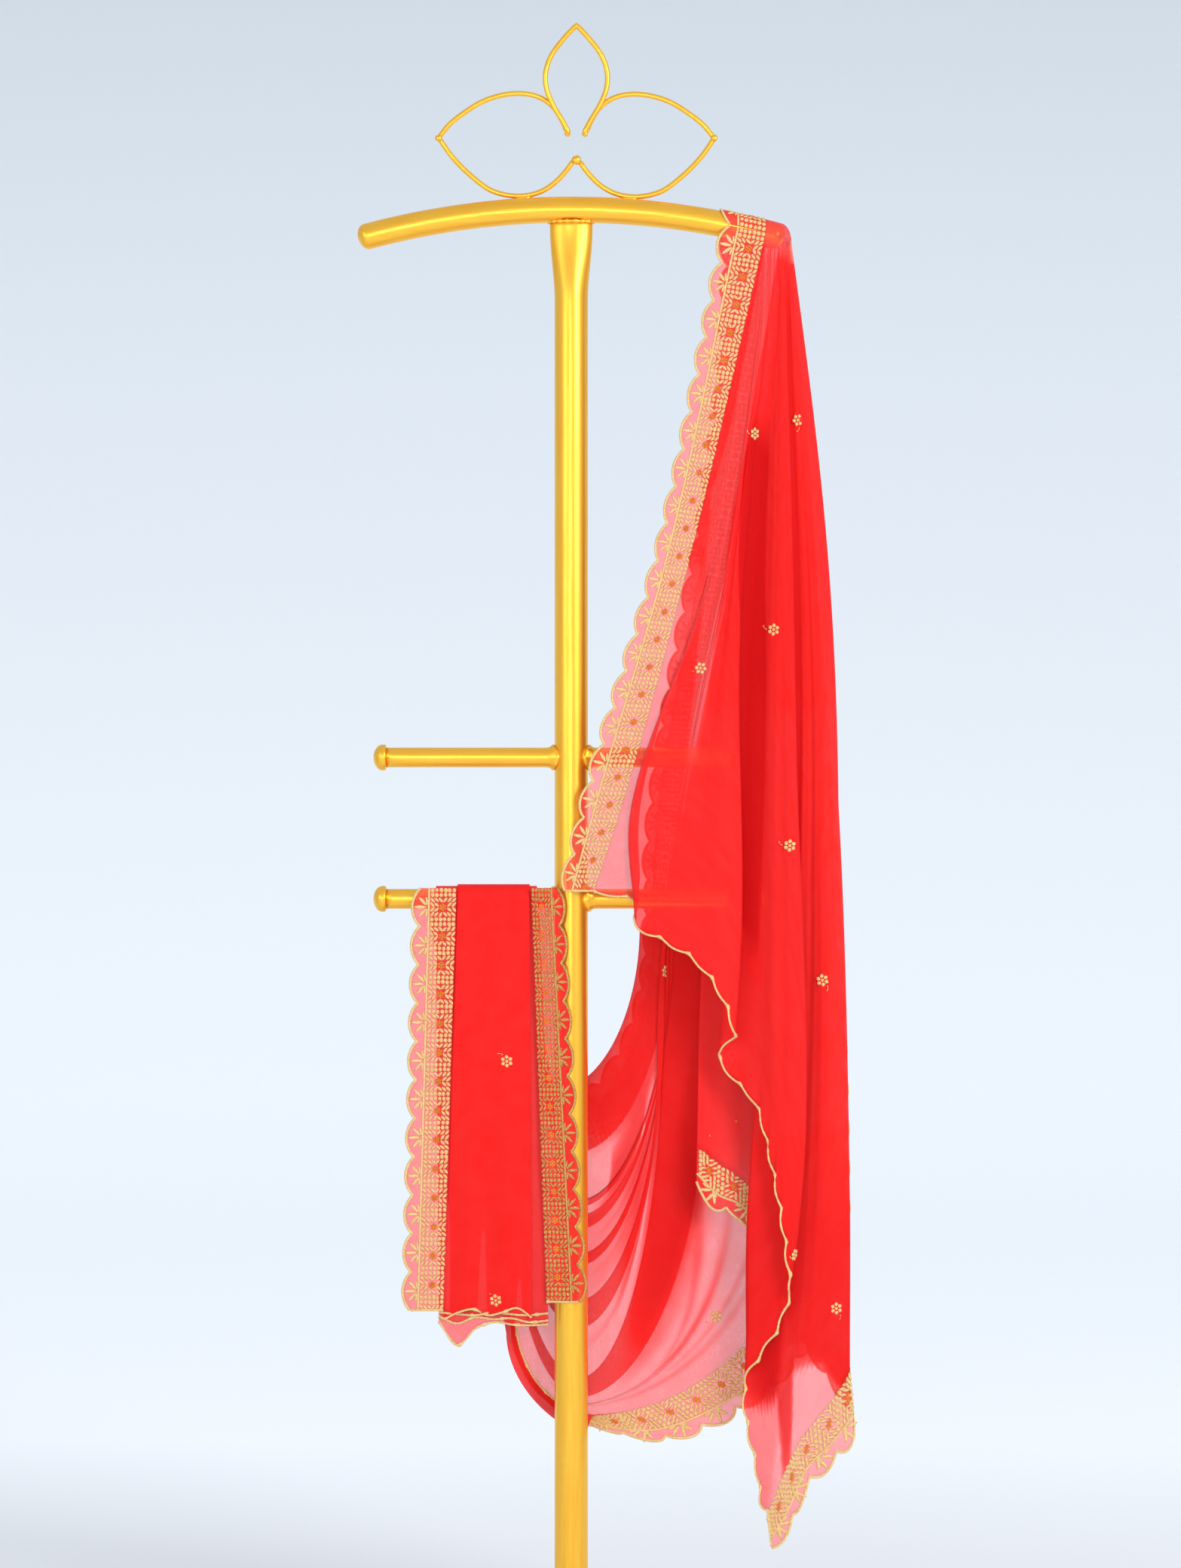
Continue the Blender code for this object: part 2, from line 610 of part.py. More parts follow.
def build_rods(group, cutters):
    """Two pairs of side rods, coped to the post at a small weld collar, and their mushroom caps."""
    cutter = post_cutter(cutters)
    weld = 11.5
    for level, height in ROD_HEIGHTS.items():
        for side, sign in (("left", -1.0), ("right", 1.0)):
            profile = [
                (0.0, ROD_REACH),
                (ROD_RADIUS, ROD_REACH),
                (ROD_RADIUS, POST_RADIUS + 5.0),
                (weld, POST_RADIUS + 1.0),
                (weld, 8.0),
                (0.0, 8.0),
            ]
            rod = turned(f"{level}_rod_{side}", profile, group, steps=20)
            rod.location = (0.0, 0.0, height * MM)
            rod.rotation_euler = (0.0, sign * math.pi / 2, 0.0)
            cut = rod.modifiers.new("cope", "BOOLEAN")
            cut.object = cutter
            cut.operation = "DIFFERENCE"
            face = ROD_REACH + GAP
            cap = turned(
                f"{level}_cap_{side}",
                [
                    (0.0, face + CAP_LENGTH),
                    (CAP_RADIUS * 0.45, face + CAP_LENGTH * 0.93),
                    (CAP_RADIUS * 0.8, face + CAP_LENGTH * 0.68),
                    (CAP_RADIUS, face + CAP_LENGTH * 0.25),
                    (CAP_RADIUS * 0.96, face),
                    (0.0, face),
                ],
                group,
                steps=20,
            )
            cap.location = rod.location
            cap.rotation_euler = rod.rotation_euler


def curve_through(points, count):
    """Evenly shared points on a smooth curve through the ones given."""
    points = np.asarray(points, float)
    reach = np.concatenate([[0.0], np.cumsum(np.linalg.norm(np.diff(points, axis=0), axis=1))])
    return smooth(reach, points, np.linspace(0.0, reach[-1], count))


def build_lotus(group):
    """Three wire petals: a pointed upper one in front of two wide side ones."""
    lower, upper = curve_through(SIDE_PETAL_LOWER, 14), curve_through(SIDE_PETAL_UPPER, 14)
    outline = np.concatenate([lower, upper[1:]])
    for side, sign in (("left", -1.0), ("right", 1.0)):
        x = LOTUS_X + sign * outline[:, 0]
        seat = (outline[:, 1] - bar_height(x)).min() - (BAR_RADIUS + WIRE_RADIUS + GAP - FACET_SINK)
        points = [(at, 1.8, z) for at, z in zip(x, outline[:, 1] - seat)]
        wire(f"lotus_petal_{side}", points, WIRE_RADIUS, group, resolution=1)
    half = curve_through(TOP_PETAL_HALF, 13)
    points = [(LOTUS_X - x, -3.3, z) for x, z in half]
    points += [(LOTUS_X + x, -3.3, z) for x, z in half[::-1][1:]]
    wire("lotus_petal_top", points, WIRE_RADIUS, group, resolution=1)


def main():
    clear_scene()
    parts = new_collection("dupatta_on_display_stand")
    cutters = new_collection("cutters", hidden=True)
    build_foot_and_post(parts)
    build_top_bar(parts)
    build_rods(parts, cutters)
    build_lotus(parts)
    build_front_fall(parts)
    build_left_border(parts)
    build_tail_border(parts)
    build_turned_edge(parts)
    build_swag(parts)
    build_saddle(parts)
    build_rod_folds(parts)


main()
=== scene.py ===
"""Looks of a red chiffon dupatta stole with scalloped gold borders, draped on a gilt display stand.

Each piece is a surface worked out on a grid of two parameters, or a profile carried along a path.
Tables and shapes are in millimetres, turned to metres when a mesh is made. +X is the stole's side,
the front looks to -Y, +Z is up, and the origin is the middle of the foot's underside.
"""

import math

import bpy
import numpy as np
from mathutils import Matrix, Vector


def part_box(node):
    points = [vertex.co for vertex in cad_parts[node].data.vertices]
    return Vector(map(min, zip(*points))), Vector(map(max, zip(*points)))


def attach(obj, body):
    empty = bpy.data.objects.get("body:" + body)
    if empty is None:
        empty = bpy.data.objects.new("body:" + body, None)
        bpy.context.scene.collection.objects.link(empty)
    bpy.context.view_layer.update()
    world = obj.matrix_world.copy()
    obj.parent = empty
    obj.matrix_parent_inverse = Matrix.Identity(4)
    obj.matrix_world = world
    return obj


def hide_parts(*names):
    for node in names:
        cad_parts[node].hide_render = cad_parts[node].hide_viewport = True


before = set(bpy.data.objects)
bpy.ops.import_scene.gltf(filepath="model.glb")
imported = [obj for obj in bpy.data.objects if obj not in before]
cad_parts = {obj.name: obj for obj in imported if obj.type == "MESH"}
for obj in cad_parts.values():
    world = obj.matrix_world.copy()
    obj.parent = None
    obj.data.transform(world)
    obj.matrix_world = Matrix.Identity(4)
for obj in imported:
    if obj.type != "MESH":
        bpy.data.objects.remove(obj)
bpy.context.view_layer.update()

MM = 0.001
SEED = 11

# Stand, read from the frame where a node gives it
FOOT_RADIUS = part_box("foot")[1].x / MM
FOOT_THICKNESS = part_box("foot")[1].z / MM
POST_RADIUS = 16.0
POST_FOOT_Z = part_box("post")[0].z / MM
POST_NECK_START = 1320.0
POST_NECK_END = 1390.0
POST_NECK_HALF_WIDTH = 20.5
POST_NECK_HALF_DEPTH = 10.0
BAR_RADIUS = 12.5
BAR_CROWN_Z = 1409.0
BAR_BEND_RADIUS = 758.0
BAR_HALF_SPAN = 205.0
BAR_ROUND_START = 203.0
BAR_ROUND_REACH = 8.6
ROD_RADIUS = 9.5
ROD_REACH = 178.0
ROD_HEIGHTS = {"upper": 882.0, "lower": 746.0}
CAP_RADIUS = 12.5
CAP_LENGTH = 12.0
CAP_LIP = 3.4
WIRE_RADIUS = 2.5
LOTUS_X = 5.0
SIDE_PETAL_Y = 1.8
TOP_PETAL_Y = -3.3
PETAL_POINTS = 46
FACET_SINK = 0.45
GAP = 0.3

# A rod's weld collar, as distances out from the post and radii
COLLAR = ((0.1, 11.6), (0.9, 12.4), (2.2, 12.2), (3.6, 11.0), (5.2, 9.9), (7.5, 9.55), (11.0, 9.5))

# Half outlines of the lotus, as distances from its middle and heights
SIDE_PETAL_LOWER = (
    (1.9, 1458.4), (10.8, 1446.2), (22.9, 1434.1), (37.4, 1426.0), (56.7, 1422.9), (80.9, 1427.8),
    (100.2, 1441.3), (119.6, 1460.7), (132.6, 1479.0),
)
SIDE_PETAL_UPPER = (
    (132.6, 1479.0), (122.0, 1492.1), (109.9, 1501.8), (90.6, 1513.8), (71.2, 1520.1),
    (51.9, 1521.6), (35.0, 1517.7), (22.9, 1509.0), (14.2, 1496.0), (9.2, 1484.0),
)
TOP_PETAL_HALF = (
    (6.6, 1481.0), (13.5, 1494.0), (22.4, 1509.0), (28.4, 1523.5), (29.9, 1538.0),
    (25.1, 1554.9), (13.2, 1571.8), (0.0, 1586.0),
)

# Cloth
CLOTH_WALL = 0.3
LAYERS = "layers"
SKIN_CLEARNESS = 0.613
CREPE_THREADS = 1500.0
RED_LIGHT, RED_DARK = (0.98, 0.016, 0.014), (0.94, 0.024, 0.022)
# The deepest red and the second range of layers paint shade: cloth with that many layers is darkened towards
# that red, for the light they keep out
RED_PALE, RED_PAINTED_SHADE = (0.98, 0.075, 0.075), (0.64, 0.004, 0.005)
THIN_LAYERS, PAINTED_SHADE_LAYERS = (1.1, 2.2), (2.4, 5.0)
SADDLE_RADIUS = BAR_RADIUS + 2 * GAP + 0.5
SADDLE_CREST_X, SADDLE_SEAM_X, SADDLE_END_X = 143.0, 187.0, 211.4
FALL_BOW = 8.0
FALL_KNOTS = (0.0, 0.5, 0.85, 1.0)
HEM_PITCH = 32.0
HEM_DEPTH = 3.4
HEM_RADIUS = 1.05

# Border
BORDER_WIDTH = 45.0
SCALLOP_PITCH = 37.0
SCALLOP_DEPTH = 9.5
FOOT_END = SCALLOP_DEPTH + 0.8
LATTICE_START = 19.5
FIRST_COLUMN = LATTICE_START + 1.6
MOTIF_PITCH = 28.0
MOTIF_ROWS = 6
COLUMN_STEP = 4.3
COLUMNS = 6
# Petals of a scallop: how far each leans, its half length and its half width
FAN = ((-82.0, 4.4, 1.3), (-46.0, 6.2, 1.9), (0.0, 6.6, 2.0), (46.0, 6.2, 1.9), (82.0, 4.4, 1.3))
RING_ALONG = 2.3
RING_ACROSS = 2.1
LEAF_LENGTH = 3.4
LEAF_WIDTH = 1.75
LEAF_SLANT = 43.0
FAN_BASE = 16.2
SEQUIN_RADIUS, SEQUIN_RING = 1.6, 2.5
CORD_END = 0.4
CORD_FLATNESS = 0.75
SCALLOP_CORD, STRAIGHT_CORD = 1.35, 1.15
STRAIGHT_CORD_WIDTH = 17.6
SATIN_STITCHES = 2400.0
SPRIG_PETALS = 6
# How unevenly stitches are placed along and across in millimetres, and their size and slant
ALONG_JITTER, ACROSS_JITTER, SIZE_JITTER, SLANT_JITTER = 0.18, 0.16, 0.05, 0.07

# Fold lines of the front fall, from the left border's seam to the turned right edge
FRONT_COLUMNS = ("across", "x_top", "x_mid", "x_low", "x_hem", "z_hem", "y_mid", "y_hem")
FRONT_FOLDS = (
    (0.000, 187.0, 113, 53, 22, 754, -20, -24),
    (0.030, 188.5, 123, 62, 42, 752, -21, -26),
    (0.065, 189.8, 132, 66, 67, 742, -22, -24),
    (0.085, 190.6, 135, 56, 61, 728, -25, -31),
    (0.150, 192.0, 143, 88, 94, 706, -28, -37),
    (0.220, 193.5, 150, 118, 122, 687, -30, -40),
    (0.290, 195.0, 156, 144, 146, 653, -30, -40),
    (0.330, 196.0, 161, 162, 157, 622, -28, -37),
    (0.345, 196.5, 162, 163, 157, 614, -22, -30),
    (0.375, 197.2, 159, 152, 146, 601, -15, -21),
    (0.395, 197.8, 160, 150, 143, 595, -12, -15),
    (0.425, 198.5, 171, 160, 157, 575, -12, -15),
    (0.460, 199.5, 186, 180, 178, 551, -19, -24),
    (0.510, 200.7, 196, 193, 193, 495, -27, -32),
    (0.560, 202.0, 207, 209, 204, 433, -30, -36),
    (0.600, 203.0, 215, 222, 211, 376, -27, -33),
    (0.615, 203.6, 216, 224, 211, 368, -22, -27),
    (0.640, 204.4, 212, 207, 201, 338, -18, -21),
    (0.670, 205.0, 208, 188, 186, 313, -15, -18),
    (0.700, 205.6, 205, 171, 171, 290, -12, -15),
    (0.715, 206.0, 205, 169, 168, 278, -8, -10),
    (0.745, 206.6, 210, 178, 170, 245, -6, -9),
    (0.775, 207.2, 216, 190, 179, 204, -6, -9),
    (0.830, 208.0, 226, 208, 188, 160, -8, -12),
    (0.870, 208.8, 234, 222, 204, 195, -10, -15),
    (0.910, 209.6, 242, 237, 221, 229, -10, -14),
    (0.955, 210.4, 251, 254, 251, 266, -7, -9),
    (0.985, 211.0, 256, 266, 267, 290, -4, -4),
    (1.000, 211.4, 257, 268, 268, 295, 0, 0),
)
TAIL_START = 0.830
LEFT_CREST_X = (143.0, 77.0, 10.0, -13.0)
TAIL_CRESTS = (
    (193, -11, 114), (213, -12, 144), (228, -15, 180), (254, -13, 203), (272, -5, 226), (272, -1, 244),
)

# Soft creases of the front fall: place across at the bar, drift across on the way down, the
# stretch of the fall that each covers, its depth (towards the back if positive) and half width
FRONT_CREASES = (
    (0.050, 0.010, 0.10, 0.62, -1.3, 0.016),
    (0.110, 0.020, 0.30, 0.98, 1.5, 0.019),
    (0.165, 0.030, 0.06, 0.80, -1.8, 0.022),
    (0.215, 0.015, 0.20, 0.96, 2.0, 0.019),
    (0.262, 0.022, 0.42, 1.00, -1.8, 0.018),
    (0.302, 0.008, 0.08, 0.70, 1.2, 0.011),
    (0.470, 0.012, 0.12, 0.74, -1.5, 0.016),
    (0.528, 0.010, 0.35, 0.97, 1.8, 0.016),
    (0.575, 0.006, 0.10, 0.60, -1.3, 0.013),
    (0.795, 0.010, 0.30, 0.95, -1.6, 0.012),
    (0.846, 0.012, 0.10, 0.88, 1.8, 0.012),
    (0.890, 0.014, 0.45, 1.00, -2.0, 0.012),
    (0.932, 0.010, 0.15, 0.85, 1.8, 0.010),
)

# Where fewer or more layers lie together: how many, how soft the edges are as places across,
# and rows of share down, left edge and right edge
FRONT_BANDS = (
    (-1.15, 0.012, (
        (0.00, 0.030, 0.46), (0.18, 0.034, 0.27), (0.28, 0.033, 0.21), (0.39, 0.015, 0.14),
        (0.48, 0.040, 0.16), (0.575, 0.107, 0.186), (0.645, 0.151, 0.194), (0.72, 0.175, 0.195),
    )),
    (2.6, 0.006, (
        (0.24, 0.300, 0.450), (0.305, 0.210, 0.449), (0.395, 0.255, 0.452), (0.50, 0.340, 0.465),
        (0.62, 0.345, 0.468), (0.72, 0.400, 0.464), (0.83, 0.434, 0.459),
    )),
    # This band is partly cloth tucked behind the fold, raised further as painted shadow just right of the
    # fold edge
    (1.7, 0.012, ((0.05, 0.700, 0.788), (0.45, 0.655, 0.800), (0.70, 0.700, 0.815), (0.95, 0.740, 0.820))),
    (0.8, 0.010, ((0.10, 0.880, 0.905), (0.80, 0.890, 0.915))),
)

# The edge under which the tail hangs thin, as places across and shares down, and a band inside it
TAIL_TOP = (
    (0.74, 0.985), (0.758, 0.963), (0.815, 0.91), (0.849, 0.899), (0.91, 0.932), (0.934, 0.949),
    (0.971, 1.0),
)
TAIL_WEDGE = (2.2, 0.004, (
    (0.88, 0.800, 0.852), (0.93, 0.834, 0.867), (0.96, 0.852, 0.876), (1.0, 0.868, 0.885),
))

# The right part turned back behind the fall, and the crests of the border along its foot
TURN_COLUMNS = ("across", "x_top", "x_mid", "x_low", "x_hem", "z_hem", "y_top", "y_mid", "y_hem")
TURN_FOLDS = (
    (0.00, 211.4, 257, 268, 268, 295, 1.3, 1.3, 1.3),
    (0.04, 211.2, 256, 267, 264, 303, 4, 5, 5),
    (0.15, 209.0, 245, 252, 247, 334, 8, 13, 10),
    (0.36, 205.0, 216, 222, 213, 396, 10, 15, 9),
    (0.60, 200.0, 182, 178, 172, 468, 10, 15, 5),
    (0.80, 195.0, 157, 146, 142, 491, 10, 15, 2),
    (1.00, 190.0, 141, 124, 121, 508, 10, 15, -1),
)
TURN_CRESTS = (
    (271, 1.4, 246), (262, 6, 258), (238, 9, 292), (204, 8, 344), (170, 4, 428), (140, 1, 443),
    (120, -2, 466),
)

# Lines of the back fall and swag, from the upper border to the lower one
SWAG_COLUMNS = (
    "across", "x_bar", "x_side", "z_turn", "x_low", "z_low", "x_left", "z_left", "x_rod", "y_low",
)
SWAG_LINES = (
    (0.00, 143, 66, 716, -12, 562, -27, 640, -31, 25),
    (0.08, 187, 97, 716, 6, 500, -39, 600, -42, 26.5),
    (0.14, 190, 100, 722, 8, 452, -42, 570, -48, 26.5),
    (0.24, 194, 97, 700, 8, 420, -45, 540, -57, 26.5),
    (0.36, 198, 93, 672, 8, 378, -48, 500, -68, 26.5),
    (0.48, 201, 89, 632, 8, 330, -50, 470, -80, 26.5),
    (0.56, 203, 86, 585, 8, 283, -52, 445, -90, 26.5),
    (0.62, 205, 126, 560, 8, 264, -53, 420, -96, 26.5),
    (0.92, 209, 232, 470, 20, 246, -55, 337, -124, 26),
    (1.00, 211, 270, 420, 62, 216, -63, 326, -138, 21),
)
SWAG_FALL, SWAG_SWING, SWAG_CLIMB = 0.36, 0.64, 0.80
SWING_POWER = 1.9
SWAG_DEPTH = 26.5
ROD_SEAT = 12.6
TUCK_DEPTH = 3.5
UPPER_SEAM, LOWER_SEAM = 0.08, 0.92
RIM_LINE = 0.90

# Bands of the swag where the cloth doubles back on itself: from, to, and depth of the pleat
SWAG_PLEATS = (
    (0.136, 0.149, 1.6), (0.168, 0.220, 2.0), (0.292, 0.326, 2.2), (0.415, 0.480, 2.6), (0.562, 0.626, 3.2),
)
# Layers that bands add to the swag, in the same form as the front's
SWAG_BANDS = (
    (1.9, 0.008, (
        (0.35, -0.1, 0.076), (0.40, -0.1, 0.078), (0.465, -0.1, 0.098), (0.50, -0.1, 0.122),
        (0.513, -0.1, 0.160), (0.545, -0.1, 0.172),
    )),
    (1.9, 0.008, ((0.555, -0.1, 0.080), (0.60, -0.1, 0.080))),
    (1.9, 0.008, ((0.555, 0.100, 0.172), (0.572, 0.112, 0.172), (0.585, 0.150, 0.172))),
    (1.4, 0.006, (
        (0.33, 0.080, 0.52), (0.40, 0.080, 0.52), (0.465, 0.112, 0.52), (0.50, 0.137, 0.52),
        (0.505, 0.180, 0.52), (0.53, 0.190, 0.52),
    )),
    (2.3, 0.018, ((0.26, 0.500, 0.68), (0.36, 0.530, 0.650), (0.52, 0.570, 0.612))),
    (0.8, 0.030, ((0.38, 0.600, 0.66), (0.56, 0.600, 0.66))),
    (0.5, 0.014, ((0.36, 0.100, 0.41), (0.55, 0.180, 0.41), (0.64, 0.180, 0.41))),
)

# Soft creases of the swag, with the same columns as the front's
SWAG_CREASES = (
    (0.255, 0.880, 0.38, 0.56, 1.9, 0.012),
    (0.505, 0.480, 0.38, 0.64, -2.0, 0.014),
    (0.640, 0.200, 0.44, 0.70, 1.4, 0.010),
    (0.760, 0.100, 0.36, 0.58, -1.2, 0.010),
    (0.820, 0.060, 0.40, 0.66, 1.2, 0.012),
    (0.500, 0.010, 0.46, 0.66, 1.0, 0.008),
    (0.250, 0.010, 0.46, 0.62, -1.0, 0.007),
    (0.350, 0.010, 0.46, 0.62, 0.9, 0.006),
)

# The end folded over the lower left rod: where each sheet's two edges lie at the rod and at the
# foot, how far it stands off the rod, where it ends behind, and the heights of its foot
PANEL_EDGES, PANEL_ENDS = (-109.5, -40.0), (-122.0, -38.0)
PANEL_LIFT = 4.6
PANEL_BACK_Z = 739.0
PANEL_ROWS = 90
UNDER_EDGES, UNDER_ENDS = (-130.0, -33.0), (-127.0, -22.0)
UNDER_BACK_Z = 735.0
PANEL_FOOT = (343.0, 350.0, 353.0, 347.0, 350.0, 354.0, 345.0)
UNDER_FEET = (
    (341.0, 318.0, 334.0, 340.0, 338.0, 337.0, 338.0),
    (346.0, 339.0, 345.0, 343.0, 344.0, 340.0, 342.0),
    (350.0, 348.0, 347.0, 350.0, 348.0, 347.0, 349.0),
)
HANGING_TOP_Z = 757.0
HANGING_BORDERS = {
    "left": {"seam": (-109.8, -122.4), "crest": (-153.0, -163.0), "foot": 352.0, "y": (-15.6, -15.6)},
    "right": {"seam": (-38.5, -24.0), "crest": (-7.0, 16.0), "foot": 360.0, "y": (-15.4, -18.7)},
}

# Middles of the small six-petal sprigs and of two beads, as seen from the front
FRONT_SPRIGS = (
    (176, 1192), (220, 1204), (122.5, 966), (194, 1005), (210, 797), (241, 669), (214, 406), (255, 355),
)
SWAG_SPRIGS = ((91, 676), (139, 341))
FOLD_SPRIGS = ((-62, 589), (-72, 360))
TURN_BEADS = ((159.5, 534.6), (134.0, 518.6))

# How many layers of chiffon lie together in the front fall above, at its middle and below, the
# heights where one gives way to the next, and how many lie in the back fall and in the swag
FALL_LAYERS = (2.6, 2.1, 3.3)
FALL_HEIGHTS = ((900.0, 1020.0), (400.0, 540.0))
BACK_LAYERS = 1.1
SWAG_LAYERS = 1.3
# Layers at the top of the fall, beside its left border and in its tail, and what the packed
# inner part and the rim add to the swag
TOP_LAYERS, BESIDE_LAYERS, TAIL_LAYERS = 1.1, 1.25, 1.12
INNER_LAYERS, RIM_LAYERS = 1.6, 1.8
# Layers in the plainer sheets and under the borders
SHEET_LAYERS = {
    "front_borders": 1.0, "turned_edge": 2.0, "turned_border": 1.8, "saddle": 1.3,
    "upper_border": 2.0, "lower_border": 1.2, "fold_panel": 2.4, "fold_left_border": 1.3,
    "fold_under": 1.6, "fold_right_border": 2.0,
}

# Gilt paint in its darker streaks, its lighter ones and its worn spots
GILT_DARK, GILT_LIGHT, GILT_WORN = (0.96, 0.48, 0.038), (1.0, 0.575, 0.065), (0.62, 0.33, 0.05)

# Camera and the point that the lights look at in metres, and its lens and sensor in millimetres
CAMERA_PLACE = (0.0185, -4.5, 0.8565)
CAMERA_LENS = 71.6
SENSOR_HEIGHT = 24.0
LIGHT_TARGET = (0.1, 0.0, 0.8)


# Curves and surfaces

def table_of(rows, names):
    """The named columns of a table as arrays."""
    values = np.array(rows, float)
    return {name: values[:, k] for k, name in enumerate(names)}


def smooth(knots, values, at):
    """A cubic curve through values at knots, with each slope taken from its two neighbours."""
    knots, values, at = (np.asarray(a, float) for a in (knots, values, at))
    spread = (...,) + (None,) * (values.ndim - 1)
    steps = np.diff(values, axis=0) / np.diff(knots)[spread]
    slopes = np.concatenate([steps[:1], 0.5 * (steps[1:] + steps[:-1]), steps[-1:]])
    k = np.clip(np.searchsorted(knots, at, side="right") - 1, 0, len(knots) - 2)
    span = (knots[k + 1] - knots[k])[spread]
    t = (at - knots[k])[spread] / span
    return (
        values[k] * (1 + 2 * t) * (1 - t) ** 2
        + values[k + 1] * t**2 * (3 - 2 * t)
        + slopes[k] * span * t * (1 - t) ** 2
        + slopes[k + 1] * span * t**2 * (t - 1)
    )


def ramp(start, end, at):
    """0 before start, 1 after end, and a smooth step between them."""
    t = np.clip((np.asarray(at, float) - start) / (end - start), 0.0, 1.0)
    return t * t * (3 - 2 * t)


def unit(vectors):
    """Vectors scaled to length 1."""
    return vectors / np.maximum(np.linalg.norm(vectors, axis=-1, keepdims=True), 1e-9)


def distances(points):
    """Distance of each point along a path from its first."""
    steps = np.linalg.norm(np.diff(points, axis=0), axis=1)
    return np.concatenate([[0.0], np.cumsum(steps)])


def curve_through(points, count):
    """Evenly spread points on a smooth curve through the ones given."""
    points = np.asarray(points, float)
    reach = distances(points)
    return smooth(reach, points, np.linspace(0.0, reach[-1], count))


def rows_between(points, at):
    """Points at fractional row numbers of a path, straight between its points."""
    rows = np.arange(len(points))
    return np.stack([np.interp(at, rows, points[:, k]) for k in range(points.shape[1])], axis=-1)


# Meshes

def grid_quads(rows, columns, wrap=False):
    """Quads of a grid of points stored row by row, its columns joined round if wrap is set."""
    corner = np.arange(rows * columns).reshape(rows, columns)
    ahead = np.roll(corner, -1, axis=1) if wrap else corner[:, 1:]
    here = corner if wrap else corner[:, :-1]
    return np.stack([here[:-1], ahead[:-1], ahead[1:], here[1:]], axis=-1).reshape(-1, 4)


def ring_cap(first, count, reverse=False):
    """A fan of triangles that closes a ring of points."""
    inner = np.arange(1, count - 1)
    fan = np.stack([np.full(count - 2, first), first + inner, first + inner + 1], axis=-1)
    return fan[:, ::-1] if reverse else fan


def triangles(faces):
    """Lists of quads and triangles as triangles alone."""
    split = [f if f.shape[1] == 3 else np.concatenate([f[:, [0, 1, 2]], f[:, [0, 2, 3]]]) for f in faces]
    return np.concatenate(split)


def facing_out(points, faces):
    """The faces of closed forms, all turned round where their volume comes out negative."""
    a, b, c = (points[corner] for corner in triangles(faces).T)
    if np.einsum("ij,ij->", a, np.cross(b, c)) < 0:
        return [f[:, ::-1] for f in faces]
    return faces


def add_piece(name, points, faces, material, uv=None, closed=True):
    """A smooth-shaded object from points in millimetres, arrays of faces, and a UV for each point."""
    points = np.asarray(points, float).reshape(-1, 3)
    if closed:
        faces = facing_out(points, faces)
    corners = np.concatenate([f.ravel() for f in faces])
    sides = np.concatenate([np.full(len(f), f.shape[1]) for f in faces])
    mesh = bpy.data.meshes.new(name)
    mesh.vertices.add(len(points))
    mesh.vertices.foreach_set("co", (points * MM).astype(np.float32).ravel())
    mesh.loops.add(len(corners))
    mesh.loops.foreach_set("vertex_index", corners.astype(np.int32))
    mesh.polygons.add(len(sides))
    mesh.polygons.foreach_set("loop_start", (np.cumsum(sides) - sides).astype(np.int32))
    mesh.update(calc_edges=True)
    if uv is not None:
        layer = mesh.uv_layers.new(name="UVMap")
        layer.data.foreach_set("uv", np.asarray(uv, float).reshape(-1, 2)[corners].astype(np.float32).ravel())
    mesh.shade_smooth()
    mesh.materials.append(material)
    made = bpy.data.objects.new(name, mesh)
    bpy.context.scene.collection.objects.link(made)
    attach(made, "root")
    return made


def grid_uv(grid):
    """UV of a grid: distances along its middle row and middle column, in metres."""
    down = distances(grid[:, grid.shape[1] // 2]) * MM
    across = distances(grid[grid.shape[0] // 2]) * MM
    return np.stack(np.broadcast_arrays(across[None, :], down[:, None]), axis=-1)


def join_forms(forms):
    """Several (points, faces, uv) forms as one."""
    points, quads, tris, uvs = [], [], [], []
    start = 0
    for form_points, form_faces, form_uv in forms:
        flat = form_points.reshape(-1, 3)
        for f in form_faces:
            (quads if f.shape[1] == 4 else tris).append(f + start)
        points.append(flat)
        uvs.append(form_uv.reshape(-1, 2))
        start += len(flat)
    faces = [np.concatenate(f) for f in (quads, tris) if f]
    return np.concatenate(points), faces, np.concatenate(uvs)


def add_cloth(name, sheets, material):
    """One or more sheets, given a thin wall on both sides of their grids.

    Each is a grid of points and how many layers of chiffon lie together there, as the attribute
    that the cloth's finish reads.
    """
    forms = [(grid, [grid_quads(*grid.shape[:2])], grid_uv(grid)) for grid, layers in sheets]
    points, faces, uv = join_forms(forms)
    made = add_piece(name, points, faces, material, uv, closed=False)
    layers = [np.broadcast_to(layers, grid.shape[:2]).ravel() for grid, layers in sheets]
    attribute = made.data.attributes.new(LAYERS, "FLOAT", "POINT")
    attribute.data.foreach_set("value", np.concatenate(layers).astype(np.float32))
    thicken = made.modifiers.new("wall", "SOLIDIFY")
    thicken.thickness = CLOTH_WALL * MM
    thicken.offset = 0.0
    return made


